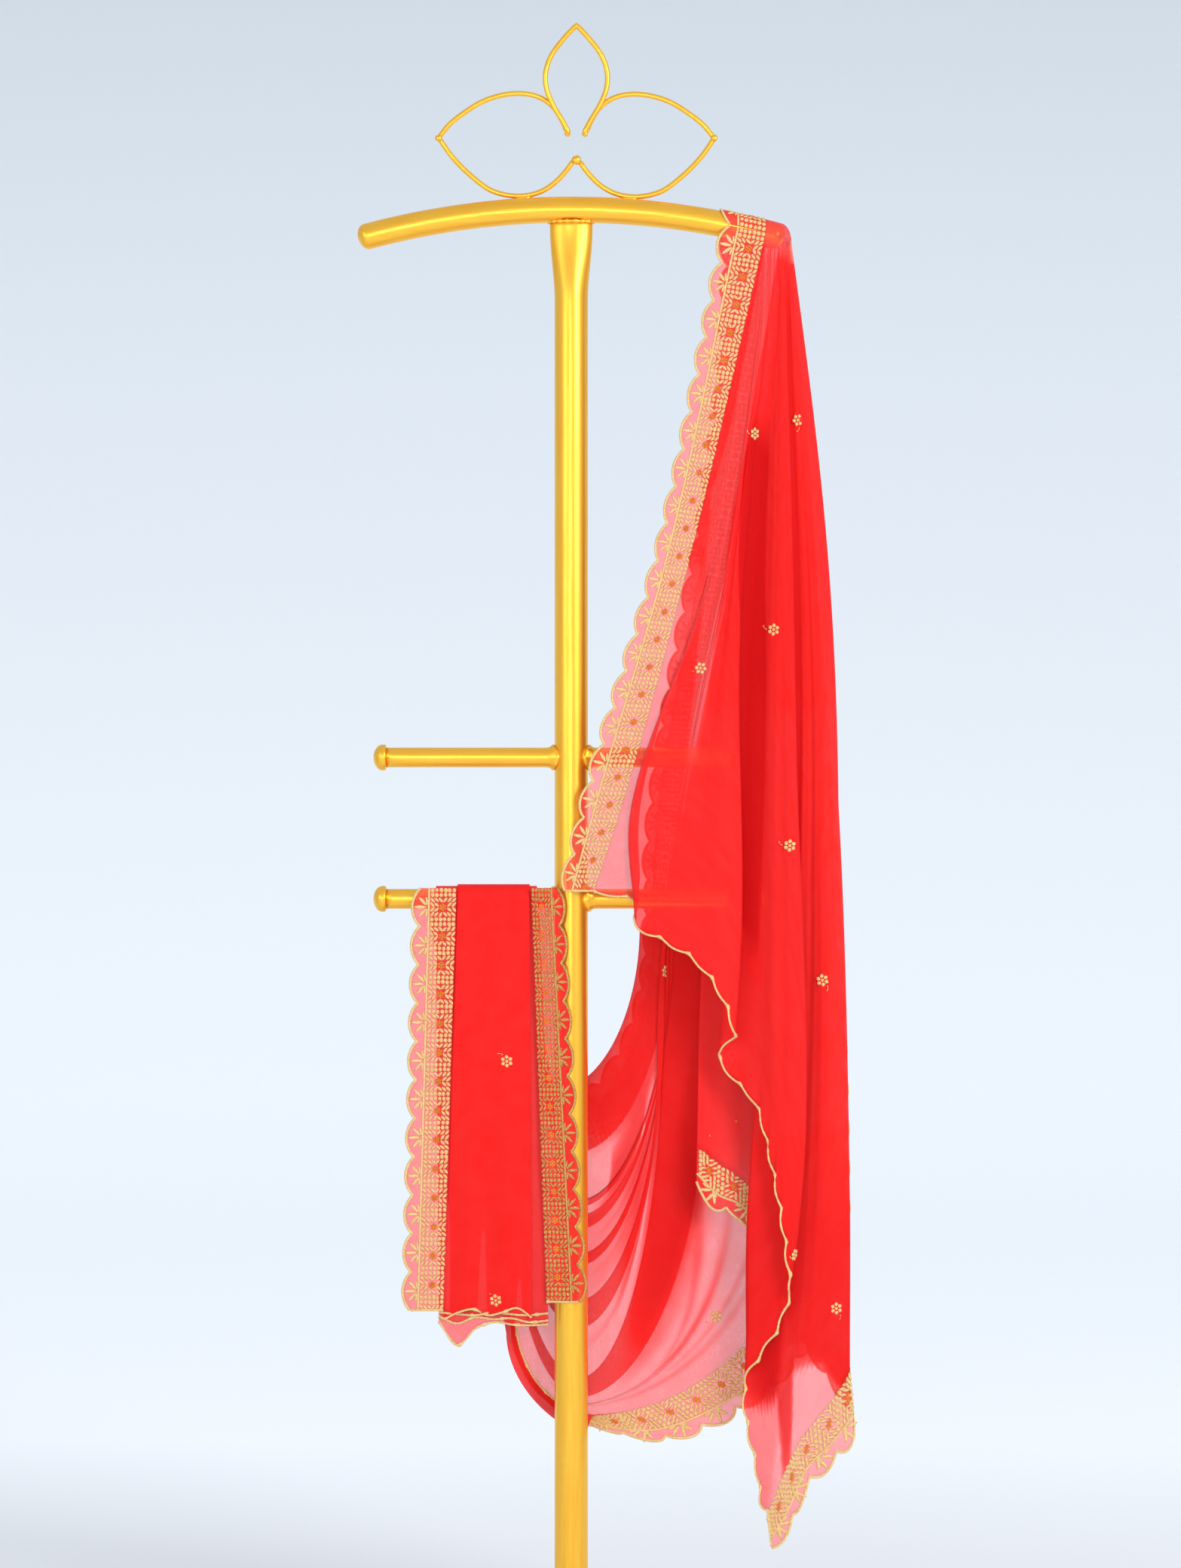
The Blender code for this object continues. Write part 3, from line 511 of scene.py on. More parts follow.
def tube_form(path, up, radius_side, radius_up, sides=6, closed=False):
    """A tube along a path: each ring is radius_side times cos across and radius_up times sin along up.

    Across is the path's direction crossed with up, so the tube never twists on a surface whose
    normal is up. Its ends meet if it is closed, and otherwise fans close them. UV is distance
    along and way round.
    """
    path = np.asarray(path, float)
    ahead = np.gradient(path, axis=0)
    if closed:
        ahead = np.roll(path, -1, axis=0) - np.roll(path, 1, axis=0)
    ahead = unit(ahead)
    side = unit(np.cross(ahead, up))
    lift = np.cross(side, ahead)
    turn = np.linspace(0.0, 2 * np.pi, sides, endpoint=False)
    radius_side = np.broadcast_to(np.asarray(radius_side, float), len(path))[:, None, None]
    radius_up = np.broadcast_to(np.asarray(radius_up, float), len(path))[:, None, None]
    ring = radius_side * np.cos(turn)[None, :, None] * side[:, None]
    ring = ring + radius_up * np.sin(turn)[None, :, None] * lift[:, None]
    points = path[:, None] + ring
    round_way = 1.0 - np.abs(turn / np.pi - 1.0)
    uv = np.stack(np.broadcast_arrays(distances(path)[:, None] * MM, round_way[None, :] * 0.004), axis=-1)
    if closed:
        return points, [grid_quads(len(path) + 1, sides, wrap=True) % (len(path) * sides)], uv
    last = (len(path) - 1) * sides
    faces = [grid_quads(len(path), sides, wrap=True), ring_cap(0, sides, True), ring_cap(last, sides)]
    return points, faces, uv


def turned_form(profile, sides):
    """A profile of (radius, height) turned about Z: x is radius times cos, y is radius times sin.

    Its first and last points lie on the axis and become single poles.
    """
    profile = np.asarray(profile, float)
    turn = np.linspace(0.0, 2 * np.pi, sides, endpoint=False)
    radius, height = profile[1:-1, 0, None], profile[1:-1, 1, None]
    rings = np.stack(
        np.broadcast_arrays(radius * np.cos(turn), radius * np.sin(turn), height + 0 * turn), axis=-1
    )
    rows = len(profile) - 2
    poles = np.array([[0, 0, profile[0, 1]], [0, 0, profile[-1, 1]]])
    points = np.concatenate([rings.reshape(-1, 3), poles])
    here = np.arange(sides)
    ahead = np.roll(here, -1)
    first, last, base = rows * sides, rows * sides + 1, (rows - 1) * sides
    fans = np.concatenate(
        [
            np.stack([here * 0 + first, ahead, here], axis=-1),
            np.stack([here * 0 + last, base + here, base + ahead], axis=-1),
        ]
    )
    reach = distances(profile)
    uv = np.stack(np.broadcast_arrays(reach[1:-1, None] * MM, (turn * MM)[None, :]), axis=-1).reshape(-1, 2)
    uv = np.concatenate([uv, [[reach[0] * MM, 0], [reach[-1] * MM, 0]]])
    return points, [grid_quads(rows, sides, wrap=True), fans], uv


# Materials

def node_group(name, inputs, outputs):
    """An empty shader node group with named sockets; inputs is {name: (kind, default)}."""
    group = bpy.data.node_groups.new(name, "ShaderNodeTree")
    for socket, (kind, default) in inputs.items():
        made = group.interface.new_socket(socket, in_out="INPUT", socket_type=kind)
        if default is not None:
            made.default_value = default
    for socket, kind in outputs.items():
        group.interface.new_socket(socket, in_out="OUTPUT", socket_type=kind)
    entry = group.nodes.new("NodeGroupInput")
    leave = group.nodes.new("NodeGroupOutput")
    return group, entry, leave


def add_node(tree, kind, values=None, **settings):
    """A node with its settings, and its input values by name or number."""
    node = tree.nodes.new(kind)
    for key, value in settings.items():
        setattr(node, key, value)
    for key, value in (values or {}).items():
        node.inputs[key].default_value = value
    return node


def math_node(tree, operation, first, second=None, third=None):
    """The output of a Math node whose inputs are sockets or numbers."""
    node = add_node(tree, "ShaderNodeMath", operation=operation)
    for k, value in enumerate((first, second, third)):
        if value is None:
            continue
        if isinstance(value, bpy.types.NodeSocket):
            tree.links.new(value, node.inputs[k])
        else:
            node.inputs[k].default_value = value
    return node.outputs[0]


def noise(tree, vector, scale, detail, roughness=0.55):
    """The value of a Noise texture on a vector socket."""
    node = add_node(tree, "ShaderNodeTexNoise", {"Scale": scale, "Detail": detail, "Roughness": roughness})
    tree.links.new(vector, node.inputs["Vector"])
    return node.outputs["Fac"]


def between(tree, value, low, high, to_low=0.0, to_high=1.0):
    """A value mapped from low..high to to_low..to_high and held at the ends."""
    node = add_node(
        tree, "ShaderNodeMapRange",
        {"From Min": low, "From Max": high, "To Min": to_low, "To Max": to_high},
    )
    tree.links.new(value, node.inputs["Value"])
    return node.outputs["Result"]


def colour_between(tree, mask, first, second):
    """A colour from first to second by a mask."""
    node = add_node(tree, "ShaderNodeMix", data_type="RGBA")
    node.inputs["A"].default_value = (*first, 1.0)
    node.inputs["B"].default_value = (*second, 1.0)
    tree.links.new(mask, node.inputs["Factor"])
    return node.outputs["Result"]


def crepe_weave_group():
    """Crossed crepe threads: height of the weave, and a soft cloudy mask of its density."""
    group, entry, leave = node_group(
        "crepe_weave",
        {"Vector": ("NodeSocketVector", None), "Threads": ("NodeSocketFloat", CREPE_THREADS)},
        {"Height": "NodeSocketFloat", "Density": "NodeSocketFloat"},
    )
    bend = noise(group, entry.outputs["Vector"], 90.0, 2.0)
    split = add_node(group, "ShaderNodeSeparateXYZ")
    group.links.new(entry.outputs["Vector"], split.inputs[0])
    threads = []
    for axis in ("X", "Y"):
        run = math_node(group, "MULTIPLY", split.outputs[axis], entry.outputs["Threads"])
        run = math_node(group, "MULTIPLY_ADD", bend, 3.0, run)
        wave = math_node(group, "SINE", math_node(group, "MULTIPLY", run, 2 * math.pi))
        threads.append(math_node(group, "MULTIPLY_ADD", wave, 0.5, 0.5))
    height = math_node(group, "MAXIMUM", threads[0], threads[1])
    group.links.new(height, leave.inputs["Height"])
    cloud = noise(group, entry.outputs["Vector"], 45.0, 4.0)
    group.links.new(between(group, cloud, 0.3, 0.7), leave.inputs["Density"])
    return group


def satin_thread_group():
    """Stitches laid side by side: a wave along the thread's own UV, and a mask that dulls some."""
    group, entry, leave = node_group(
        "satin_thread",
        {"Vector": ("NodeSocketVector", None), "Stitches": ("NodeSocketFloat", SATIN_STITCHES)},
        {"Height": "NodeSocketFloat", "Lustre": "NodeSocketFloat"},
    )
    split = add_node(group, "ShaderNodeSeparateXYZ")
    group.links.new(entry.outputs["Vector"], split.inputs[0])
    slant = math_node(group, "ADD", split.outputs["X"], split.outputs["Y"])
    run = math_node(group, "MULTIPLY", slant, entry.outputs["Stitches"])
    wave = math_node(group, "SINE", math_node(group, "MULTIPLY", run, 2 * math.pi))
    group.links.new(math_node(group, "MULTIPLY_ADD", wave, 0.5, 0.5), leave.inputs["Height"])
    patch = noise(group, entry.outputs["Vector"], 700.0, 2.0)
    group.links.new(between(group, patch, 0.35, 0.65), leave.inputs["Lustre"])
    return group


def brushed_paint_group():
    """Brushed metallic paint: long streaks, fine flakes and a few worn spots."""
    group, entry, leave = node_group(
        "brushed_paint",
        {"Vector": ("NodeSocketVector", None)},
        {"Streaks": "NodeSocketFloat", "Flakes": "NodeSocketFloat", "Wear": "NodeSocketFloat"},
    )
    stretch = add_node(group, "ShaderNodeMapping", {"Scale": (1.0, 1.0, 0.06)})
    group.links.new(entry.outputs["Vector"], stretch.inputs["Vector"])
    streaks = noise(group, stretch.outputs[0], 260.0, 4.0)
    group.links.new(between(group, streaks, 0.3, 0.7), leave.inputs["Streaks"])
    flakes = noise(group, entry.outputs["Vector"], 2600.0, 1.0)
    group.links.new(flakes, leave.inputs["Flakes"])
    worn = noise(group, entry.outputs["Vector"], 38.0, 6.0, 0.7)
    group.links.new(between(group, worn, 0.66, 0.74), leave.inputs["Wear"])
    return group


def new_material(name):
    """A material with its tree and its Principled shader."""
    made = bpy.data.materials.new(name)
    made.use_nodes = True
    return made, made.node_tree, made.node_tree.nodes["Principled BSDF"]


def use_group(tree, group, vector, **values):
    """A node group placed in a material and fed with a coordinate."""
    node = add_node(tree, "ShaderNodeGroup")
    node.node_tree = group
    tree.links.new(vector, node.inputs["Vector"])
    for key, value in values.items():
        node.inputs[key].default_value = value
    return node


def bump(tree, shader, height, distance, strength):
    """A Bump node from a height socket to the shader's normal."""
    node = add_node(tree, "ShaderNodeBump", {"Distance": distance, "Strength": strength})
    tree.links.new(height, node.inputs["Height"])
    tree.links.new(node.outputs["Normal"], shader.inputs["Normal"])


def chiffon_material(weave):
    """Sheer red chiffon: a skin lets its clearness to the power of its layers by, so the red builds up.

    Thin cloth is a little paler, and packed cloth is painted darker as painted shade, for the light that its
    layers keep out.
    """
    made, tree, shader = new_material("red_chiffon")
    place = add_node(tree, "ShaderNodeUVMap", uv_map="UVMap")
    threads = use_group(tree, weave, place.outputs["UV"], Threads=CREPE_THREADS)
    layers = add_node(tree, "ShaderNodeAttribute", attribute_name=LAYERS)
    # Painted shade: the red darkens where many layers lie together
    packed = between(tree, layers.outputs["Fac"], *PAINTED_SHADE_LAYERS)
    single = colour_between(tree, threads.outputs["Density"], RED_LIGHT, RED_DARK)
    deep = add_node(tree, "ShaderNodeMix", data_type="RGBA")
    deep.inputs["B"].default_value = (*RED_PAINTED_SHADE, 1.0)
    thin = between(tree, layers.outputs["Fac"], *THIN_LAYERS)
    pale = add_node(tree, "ShaderNodeMix", data_type="RGBA")
    pale.inputs["A"].default_value = (*RED_PALE, 1.0)
    tree.links.new(thin, pale.inputs["Factor"])
    tree.links.new(single, pale.inputs["B"])
    tree.links.new(packed, deep.inputs["Factor"])
    tree.links.new(pale.outputs["Result"], deep.inputs["A"])
    tree.links.new(deep.outputs["Result"], shader.inputs["Base Color"])
    spread = between(tree, threads.outputs["Density"], 0.0, 1.0, 0.92, 1.08)
    count = math_node(tree, "MULTIPLY", layers.outputs["Fac"], spread)
    clear = math_node(tree, "POWER", SKIN_CLEARNESS, count)
    tree.links.new(math_node(tree, "SUBTRACT", 1.0, clear), shader.inputs["Alpha"])
    bump(tree, shader, threads.outputs["Height"], 0.0002, 0.25)
    shader.inputs["Roughness"].default_value = 0.65
    shader.inputs["Specular IOR Level"].default_value = 0.08
    shader.inputs["Sheen Weight"].default_value = 0.05
    shader.inputs["Sheen Roughness"].default_value = 0.45
    shader.inputs["Sheen Tint"].default_value = (1.0, 0.45, 0.4, 1.0)
    return made


def thread_material(name, thread, light, dark, metallic, roughness):
    """Gold embroidery thread with a satin ridge to each stitch."""
    made, tree, shader = new_material(name)
    place = add_node(tree, "ShaderNodeUVMap", uv_map="UVMap")
    stitches = use_group(tree, thread, place.outputs["UV"], Stitches=SATIN_STITCHES)
    tree.links.new(colour_between(tree, stitches.outputs["Lustre"], dark, light), shader.inputs["Base Color"])
    rough = between(tree, stitches.outputs["Lustre"], 0, 1, roughness + 0.15, roughness)
    tree.links.new(rough, shader.inputs["Roughness"])
    bump(tree, shader, stitches.outputs["Height"], 0.0003, 0.6)
    shader.inputs["Metallic"].default_value = metallic
    shader.inputs["Specular IOR Level"].default_value = 0.5
    return made


def gilt_material(name, paint, turn):
    """Gold paint brushed along the tube, with darker spots where it is thin."""
    made, tree, shader = new_material(name)
    place = add_node(tree, "ShaderNodeTexCoord")
    mapping = add_node(tree, "ShaderNodeMapping", {"Rotation": turn})
    tree.links.new(place.outputs["Object"], mapping.inputs["Vector"])
    brushed = use_group(tree, paint, mapping.outputs["Vector"])
    base = colour_between(tree, brushed.outputs["Streaks"], GILT_DARK, GILT_LIGHT)
    worn = add_node(tree, "ShaderNodeMix", data_type="RGBA")
    worn.inputs["B"].default_value = (*GILT_WORN, 1.0)
    tree.links.new(math_node(tree, "MULTIPLY", brushed.outputs["Wear"], 0.35), worn.inputs["Factor"])
    tree.links.new(base, worn.inputs["A"])
    tree.links.new(worn.outputs["Result"], shader.inputs["Base Color"])
    tree.links.new(between(tree, brushed.outputs["Streaks"], 0, 1, 0.36, 0.28), shader.inputs["Roughness"])
    height = math_node(tree, "MULTIPLY_ADD", brushed.outputs["Flakes"], 0.5, brushed.outputs["Streaks"])
    bump(tree, shader, height, 0.0002, 0.18)
    shader.inputs["Metallic"].default_value = 0.85
    shader.inputs["Coat Weight"].default_value = 0.06
    shader.inputs["Coat Roughness"].default_value = 0.15
    return made


def painted_light_sweep_material(name, low, high, heights, roughness, glow_low, glow_high):
    """A stage finish that goes from one pale tone to another between two heights.

    Towards the top it is painted darker, as painted shade, and behind the stand it glows a little, painted
    light standing in for lamps of a backdrop.
    """
    made, tree, shader = new_material(name)
    place = add_node(tree, "ShaderNodeTexCoord")
    split = add_node(tree, "ShaderNodeSeparateXYZ")
    tree.links.new(place.outputs["Object"], split.inputs[0])
    rise = between(tree, split.outputs["Z"], *heights)
    # Painted shade: the colour darkens towards the top
    tree.links.new(colour_between(tree, rise, low, high), shader.inputs["Base Color"])
    # Painted light: a glow behind the stand, standing in for backdrop lamps
    behind = add_node(tree, "ShaderNodeMix", data_type="RGBA")
    behind.inputs["A"].default_value = (0.0, 0.0, 0.0, 1.0)
    tree.links.new(between(tree, split.outputs["Y"], 0.3, 1.6), behind.inputs["Factor"])
    tree.links.new(colour_between(tree, rise, glow_low, glow_high), behind.inputs["B"])
    tree.links.new(behind.outputs["Result"], shader.inputs["Emission Color"])
    shader.inputs["Emission Strength"].default_value = 1.0
    shader.inputs["Roughness"].default_value = roughness
    shader.inputs["Specular IOR Level"].default_value = 0.1
    return made


# Stand

def bar_height(x):
    """Height of the bent bar's centre line at x."""
    return BAR_CROWN_Z - (BAR_BEND_RADIUS - np.sqrt(BAR_BEND_RADIUS**2 - np.square(x)))


def build_foot(gilt):
    """The round foot: a flat disc whose rim is a quarter round above and a small one below."""
    turn = np.linspace(0.0, np.pi / 2, 7)
    rim = FOOT_THICKNESS / 2
    top = [(FOOT_RADIUS - rim + rim * math.sin(a), FOOT_THICKNESS - rim + rim * math.cos(a)) for a in turn]
    below = [(FOOT_RADIUS - 1.5 + 1.5 * math.cos(a), 1.5 - 1.5 * math.sin(a)) for a in turn]
    flat = [(r, FOOT_THICKNESS) for r in (16.0, 24.0, 60.0, 120.0, FOOT_RADIUS - rim - 1.0)]
    under = [(r, 0.0) for r in (FOOT_RADIUS - 8.0, 100.0, 40.0)]
    profile = [(0.0, FOOT_THICKNESS), *flat, *top, *below, *under, (0.0, 0.0)]
    made = add_piece("stand_foot", *turned_form(profile, 128)[:2], gilt)
    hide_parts("foot")


def build_post(gilt):
    """The post: a round tube whose neck spreads in X and flattens in Y up to the bar.

    Half width and half depth go from the post's radius to the neck's by one smooth step.
    """
    top = BAR_CROWN_Z - BAR_RADIUS - 3 * GAP
    straight = np.linspace(POST_FOOT_Z, POST_NECK_START, 60)
    heights = np.concatenate([straight, np.linspace(POST_NECK_START, top, 30)[1:]])
    neck = ramp(POST_NECK_START, POST_NECK_END, heights)
    path = np.stack([0 * heights, 0 * heights, heights], axis=-1)
    width = POST_RADIUS + (POST_NECK_HALF_WIDTH - POST_RADIUS) * neck
    depth = POST_RADIUS + (POST_NECK_HALF_DEPTH - POST_RADIUS) * neck
    points, faces = tube_form(path, (0.0, 1.0, 0.0), width, depth, sides=64)[:2]
    made = add_piece("stand_post", points, faces, gilt)
    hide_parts("post")


def weld_bead(centre, across, up, half_width, half_depth, radius, lumps):
    """A lumpy ring: an ellipse across and up from centre, its radius swelling lumps times round."""
    turn = np.linspace(0.0, 2 * np.pi, 96, endpoint=False)
    across, up = np.asarray(across, float), np.asarray(up, float)
    path = np.asarray(centre, float) + np.outer(half_width * np.cos(turn), across)
    path = path + np.outer(half_depth * np.sin(turn), up)
    swell = radius * (1.0 + 0.22 * np.sin(lumps * turn) + 0.10 * np.sin(2.3 * lumps * turn + 1.0))
    return tube_form(path, np.cross(across, up), swell, swell * 0.9, sides=8, closed=True)


def build_bar(gilt):
    """The bent bar: a tube on an arc, its radius falling as a quarter circle at both ends."""
    reach = math.asin(BAR_HALF_SPAN / BAR_BEND_RADIUS)
    share = np.sin(np.linspace(-np.pi / 2, np.pi / 2, 140))
    angle = share * reach
    height = BAR_CROWN_Z - BAR_BEND_RADIUS * (1 - np.cos(angle))
    path = np.stack([BAR_BEND_RADIUS * np.sin(angle), 0 * angle, height], axis=-1)
    left = (reach - np.abs(angle)) * BAR_BEND_RADIUS
    dome = np.sqrt(np.clip(1.0 - (1.0 - np.clip(left / 9.0, 0.0, 1.0)) ** 2, 0.0, 1.0))
    radius = BAR_RADIUS * np.clip(dome, 0.03, 1.0)
    points, faces = tube_form(path, (0.0, 1.0, 0.0), radius, radius, sides=40)[:2]
    made = add_piece("stand_bar", points, faces, gilt)
    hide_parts("top_bar")
    top = BAR_CROWN_Z - BAR_RADIUS + 0.6
    half_width, half_depth = POST_NECK_HALF_WIDTH + 0.4, POST_NECK_HALF_DEPTH - 0.6
    bead = weld_bead((0, 0, top), (1, 0, 0), (0, 1, 0), half_width, half_depth, 1.9, 17)
    weld = add_piece("bar_weld", *bead[:2], gilt)


def rod_form(sign, height):
    """A rod: rings about X whose root follows the post's round side, with a lumpy weld collar.

    A root ring at angle a has y = r cos a, so its x is the square root of post radius squared less y squared.
    """
    stations = np.array(COLLAR)
    run = np.linspace(16.0, ROD_REACH - POST_RADIUS, 24)
    out = np.concatenate([stations[:, 0], run])[:, None]
    radius = np.concatenate([stations[:, 1], np.full(len(run), ROD_RADIUS)])[:, None]
    turn = np.linspace(0.0, 2 * np.pi, 40, endpoint=False)[None, :]
    lump = 0.35 * np.sin(9 * turn + 2.0 * height) * np.exp(-(((out - 1.5) / 1.8) ** 2))
    y, z = (radius + lump) * np.cos(turn), (radius + lump) * np.sin(turn)
    follow = np.exp(-out / 6.0)
    root = np.sqrt(np.clip((POST_RADIUS + 0.05) ** 2 - y**2, 0.0, None))
    x = out + root * follow + POST_RADIUS * (1.0 - follow)
    points = np.stack([sign * x, y, z + height], axis=-1)
    rows, sides = x.shape
    last = (rows - 1) * sides
    faces = [grid_quads(rows, sides, wrap=True), ring_cap(0, sides, True), ring_cap(last, sides)]
    return points, faces


def cap_form(sign, height):
    """A mushroom cap turned about X: a small lip, then a dome whose radius is a quarter ellipse."""
    face = ROD_REACH + 0.1
    turn = np.linspace(0.0, np.pi / 2, 9)
    rise = CAP_LENGTH - CAP_LIP + GAP
    dome = [(CAP_RADIUS * math.cos(a), face + CAP_LIP + rise * math.sin(a)) for a in turn[:-1]]
    lip = [(CAP_RADIUS - 1.4, face), (CAP_RADIUS - 0.4, face + 0.5), (CAP_RADIUS, face + 1.6)]
    profile = [(0.0, face), *lip, *dome, (0.0, face + CAP_LENGTH + GAP)]
    points, faces = turned_form(profile, 40)[:2]
    x, y, z = points.T
    return np.stack([sign * z, y, x * sign + height], axis=-1), faces


def build_rods(gilt_across):
    """Two pairs of side rods with their weld collars, and their caps."""
    for level, height in ROD_HEIGHTS.items():
        for side, sign in (("left", -1.0), ("right", 1.0)):
            rod = add_piece(f"stand_{level}_rod_{side}", *rod_form(sign, height), gilt_across)
            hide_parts(f"{level}_rod_{side}")
            cap = add_piece(f"stand_{level}_cap_{side}", *cap_form(sign, height), gilt_across)
            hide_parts(f"{level}_cap_{side}")


def build_lotus(gilt_across):
    """Three wire petals, their ends rounded, and small welds where they touch the bar and each other."""
    lower, upper = (curve_through(line, PETAL_POINTS) for line in (SIDE_PETAL_LOWER, SIDE_PETAL_UPPER))
    outline = np.concatenate([lower, upper[1:]])
    half = curve_through(TOP_PETAL_HALF, 40)
    for side, sign in (("left", -1.0), ("right", 1.0)):
        x = LOTUS_X + sign * outline[:, 0]
        seat = (outline[:, 1] - bar_height(x)).min() - (BAR_RADIUS + WIRE_RADIUS + GAP - FACET_SINK)
        path = np.stack([x, 0 * x + SIDE_PETAL_Y, outline[:, 1] - seat], axis=-1)
        made = add_piece(f"lotus_wire_{side}", *wire_form(path), gilt_across)
        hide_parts(f"lotus_petal_{side}")
        touch = np.argmin(path[:, 2] - bar_height(path[:, 0]))
        seat_path = path[touch - 2 : touch + 3] - [0.0, 1.2, 2.3]
        swell = 1.9 * np.array([0.35, 0.9, 1.0, 0.85, 0.3])
        pad = tube_form(seat_path, (0, 1, 0), swell, swell, 8)
        weld = add_piece(f"lotus_weld_{side}", *pad[:2], gilt_across)
    tip = outline[PETAL_POINTS - 1]
    spots = [(sign * tip[0], tip[1] - seat, 3.3) for sign in (-1.0, 1.0)]
    spots += [(0.0, outline[0, 1] - seat - 0.5, 4.5)]
    spots += [(sign * 8.4, 1482.0, 3.0) for sign in (-1.0, 1.0)]
    blobs = [blob_form((LOTUS_X + x, -0.8, z), radius) for x, z, radius in spots]
    weld = add_piece("lotus_tip_welds", *join_forms(blobs)[:2], gilt_across)
    loop = np.concatenate([half * [-1, 1], half[::-1][1:]])
    path = np.stack([LOTUS_X + loop[:, 0], 0 * loop[:, 0] + TOP_PETAL_Y, loop[:, 1]], axis=-1)
    made = add_piece("lotus_wire_top", *wire_form(path), gilt_across)
    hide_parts("lotus_petal_top")


def blob_form(centre, radius):
    """A small bead of weld: a ball turned about Z, a little lumpy round its middle."""
    turn = np.linspace(-np.pi / 2, np.pi / 2, 9)
    points, faces, uv = turned_form(np.stack([np.cos(turn), np.sin(turn)], axis=-1), 14)
    lump = 1.0 + 0.08 * np.sin(5 * points[:, :1] + 4 * points[:, 1:2])
    return points * radius * lump * [1.0, 0.8, 1.0] + np.array(centre), faces, uv


def wire_form(path):
    """A round wire along a path, rounded off at its two ends."""
    reach = distances(path)
    left = np.minimum(reach, reach[-1] - reach)
    radius = WIRE_RADIUS * np.clip(np.sqrt(np.clip(left / 2.0, 0.0, 1.0)), 0.35, 1.0)
    return tube_form(path, (0.0, 1.0, 0.0), radius, radius, sides=14)[:2]


# Cloth surfaces

def round_end(x):
    """Depth of the cloth on the bar: its radius, rounding to nothing past the bar's end."""
    past = np.clip((np.asarray(x, float) - BAR_ROUND_START) / BAR_ROUND_REACH, 0.0, 1.0)
    return SADDLE_RADIUS * np.sqrt(1.0 - past**2)


FRONT = table_of(FRONT_FOLDS, FRONT_COLUMNS)
TURN = table_of(TURN_FOLDS, TURN_COLUMNS)


def fall_bow(share, across):
    """How far the fall's right edge bows out above its middle, fading across to the left."""
    return FALL_BOW * np.sin(np.pi * np.clip(share / 0.5, 0.0, 1.0)) * across**4


def hem_scallops(places):
    """The front hem's shallow scallops: how far each place moves in x and z, and its distance along.

    They are the absolute sine of the distance, square to the hem and away from the cloth, and end
    where the tail's border begins.
    """
    fine = np.linspace(0.0, 1.0, 800)
    line = np.stack([smooth(FRONT["across"], FRONT[c], fine) for c in ("x_hem", "y_hem", "z_hem")], axis=-1)
    reach = distances(line)
    ahead = unit(np.gradient(line[:, [0, 2]], axis=0))
    plain = 1.0 - ramp(TAIL_START - 0.02, TAIL_START, fine)
    bulge = HEM_DEPTH * np.abs(np.sin(np.pi * reach / HEM_PITCH)) * plain
    return np.stack([np.interp(places, fine, v) for v in (bulge * ahead[:, 1], -bulge * ahead[:, 0], reach)])


def bands(table, share, across):
    """Layers that bands add: each lies between two lines down the cloth, with soft edges and ends."""
    extra = 0.0
    for amount, soft, rows in table:
        at, left, right = np.array(rows).T
        left, right = np.interp(share, at, left), np.interp(share, at, right)
        window = ramp(at[0] - 0.04, at[0] + 0.03, share) * (1.0 - ramp(at[-1] - 0.03, at[-1] + 0.04, share))
        inside = ramp(left - soft, left + soft, across) * (1.0 - ramp(right - soft, right + soft, across))
        extra = extra + amount * window * inside
    return extra


def creases(table, share, across):
    """Depth of soft creases: each is a bell across, wide as its width, under a sine along its stretch."""
    depth = 0.0
    for place, drift, start, end, height, width in table:
        window = np.sin(np.pi * np.clip((share - start) / (end - start), 0.0, 1.0)) ** 0.7
        depth = depth + height * window * np.exp(-(((across - place - drift * share) / width) ** 2))
    return depth


def front_surface(shares, places):
    """The front fall at shares down and places across: x and depth run smoothly through four knots.

    Height falls evenly from the bar to the hem, whose edge has shallow scallops left of the
    tail. Fine gathers, a cosine across that dies away below the bar, and soft creases are added
    to the depth.
    """
    shares, places = np.asarray(shares, float), np.asarray(places, float)
    line = {c: smooth(FRONT["across"], FRONT[c], places) for c in FRONT_COLUMNS[1:]}
    share, across = shares[:, None], places[None, :]
    y_top = -round_end(line["x_top"])
    x = smooth(FALL_KNOTS, np.stack([line[c] for c in ("x_top", "x_mid", "x_low", "x_hem")]), shares)
    y = smooth(FALL_KNOTS, np.stack([y_top, line["y_mid"], line["y_hem"], line["y_hem"]]), shares)
    x = x + fall_bow(share, across)
    gather = np.cos(2 * np.pi * 6 * across + 5 * across**2) * np.exp(-share / 0.2) * ramp(0.0, 0.06, share)
    y = y + 0.7 * gather * (1 - ramp(0.9, 1.0, across)) + creases(FRONT_CREASES, share, across)
    z_top = bar_height(line["x_top"])
    move_x, move_z = hem_scallops(places)[:2]
    x = x + move_x[None, :] * ramp(0.95, 1.0, share)
    z = z_top + (line["z_hem"] + move_z - z_top) * share
    return np.stack([x, y, z], axis=-1)


def front_layers(shares, places, height):
    """Layers of chiffon in the front fall, as its gathers lie.

    Bands of fewer and more, one of them painted shadow right of a fold edge, little more than one
    beside the border, and one or two in the tail under a curved edge.
    """
    share, across = np.asarray(shares, float)[:, None], np.asarray(places, float)[None, :]
    upper, middle, lower = FALL_LAYERS
    above, below = (ramp(*heights, height) for heights in FALL_HEIGHTS)
    layers = lower + (middle - lower) * below + (upper - middle) * above
    layers = layers + bands(FRONT_BANDS, share, across)
    beside = (1.0 - ramp(0.075, 0.10, across)) * ramp(0.42, 0.60, share)
    layers = layers - (layers - BESIDE_LAYERS) * beside
    at, top = np.array(TAIL_TOP).T
    tail = ramp(0.0, 0.008, share - np.interp(across, at, top)) * ramp(0.73, 0.74, across)
    single = TAIL_LAYERS + 0.5 * (1.0 - ramp(0.82, 0.85, across)) + bands([TAIL_WEDGE], share, across)
    layers = layers - (layers - single) * tail
    return TOP_LAYERS + (layers - TOP_LAYERS) * ramp(0.006, 0.03, share)


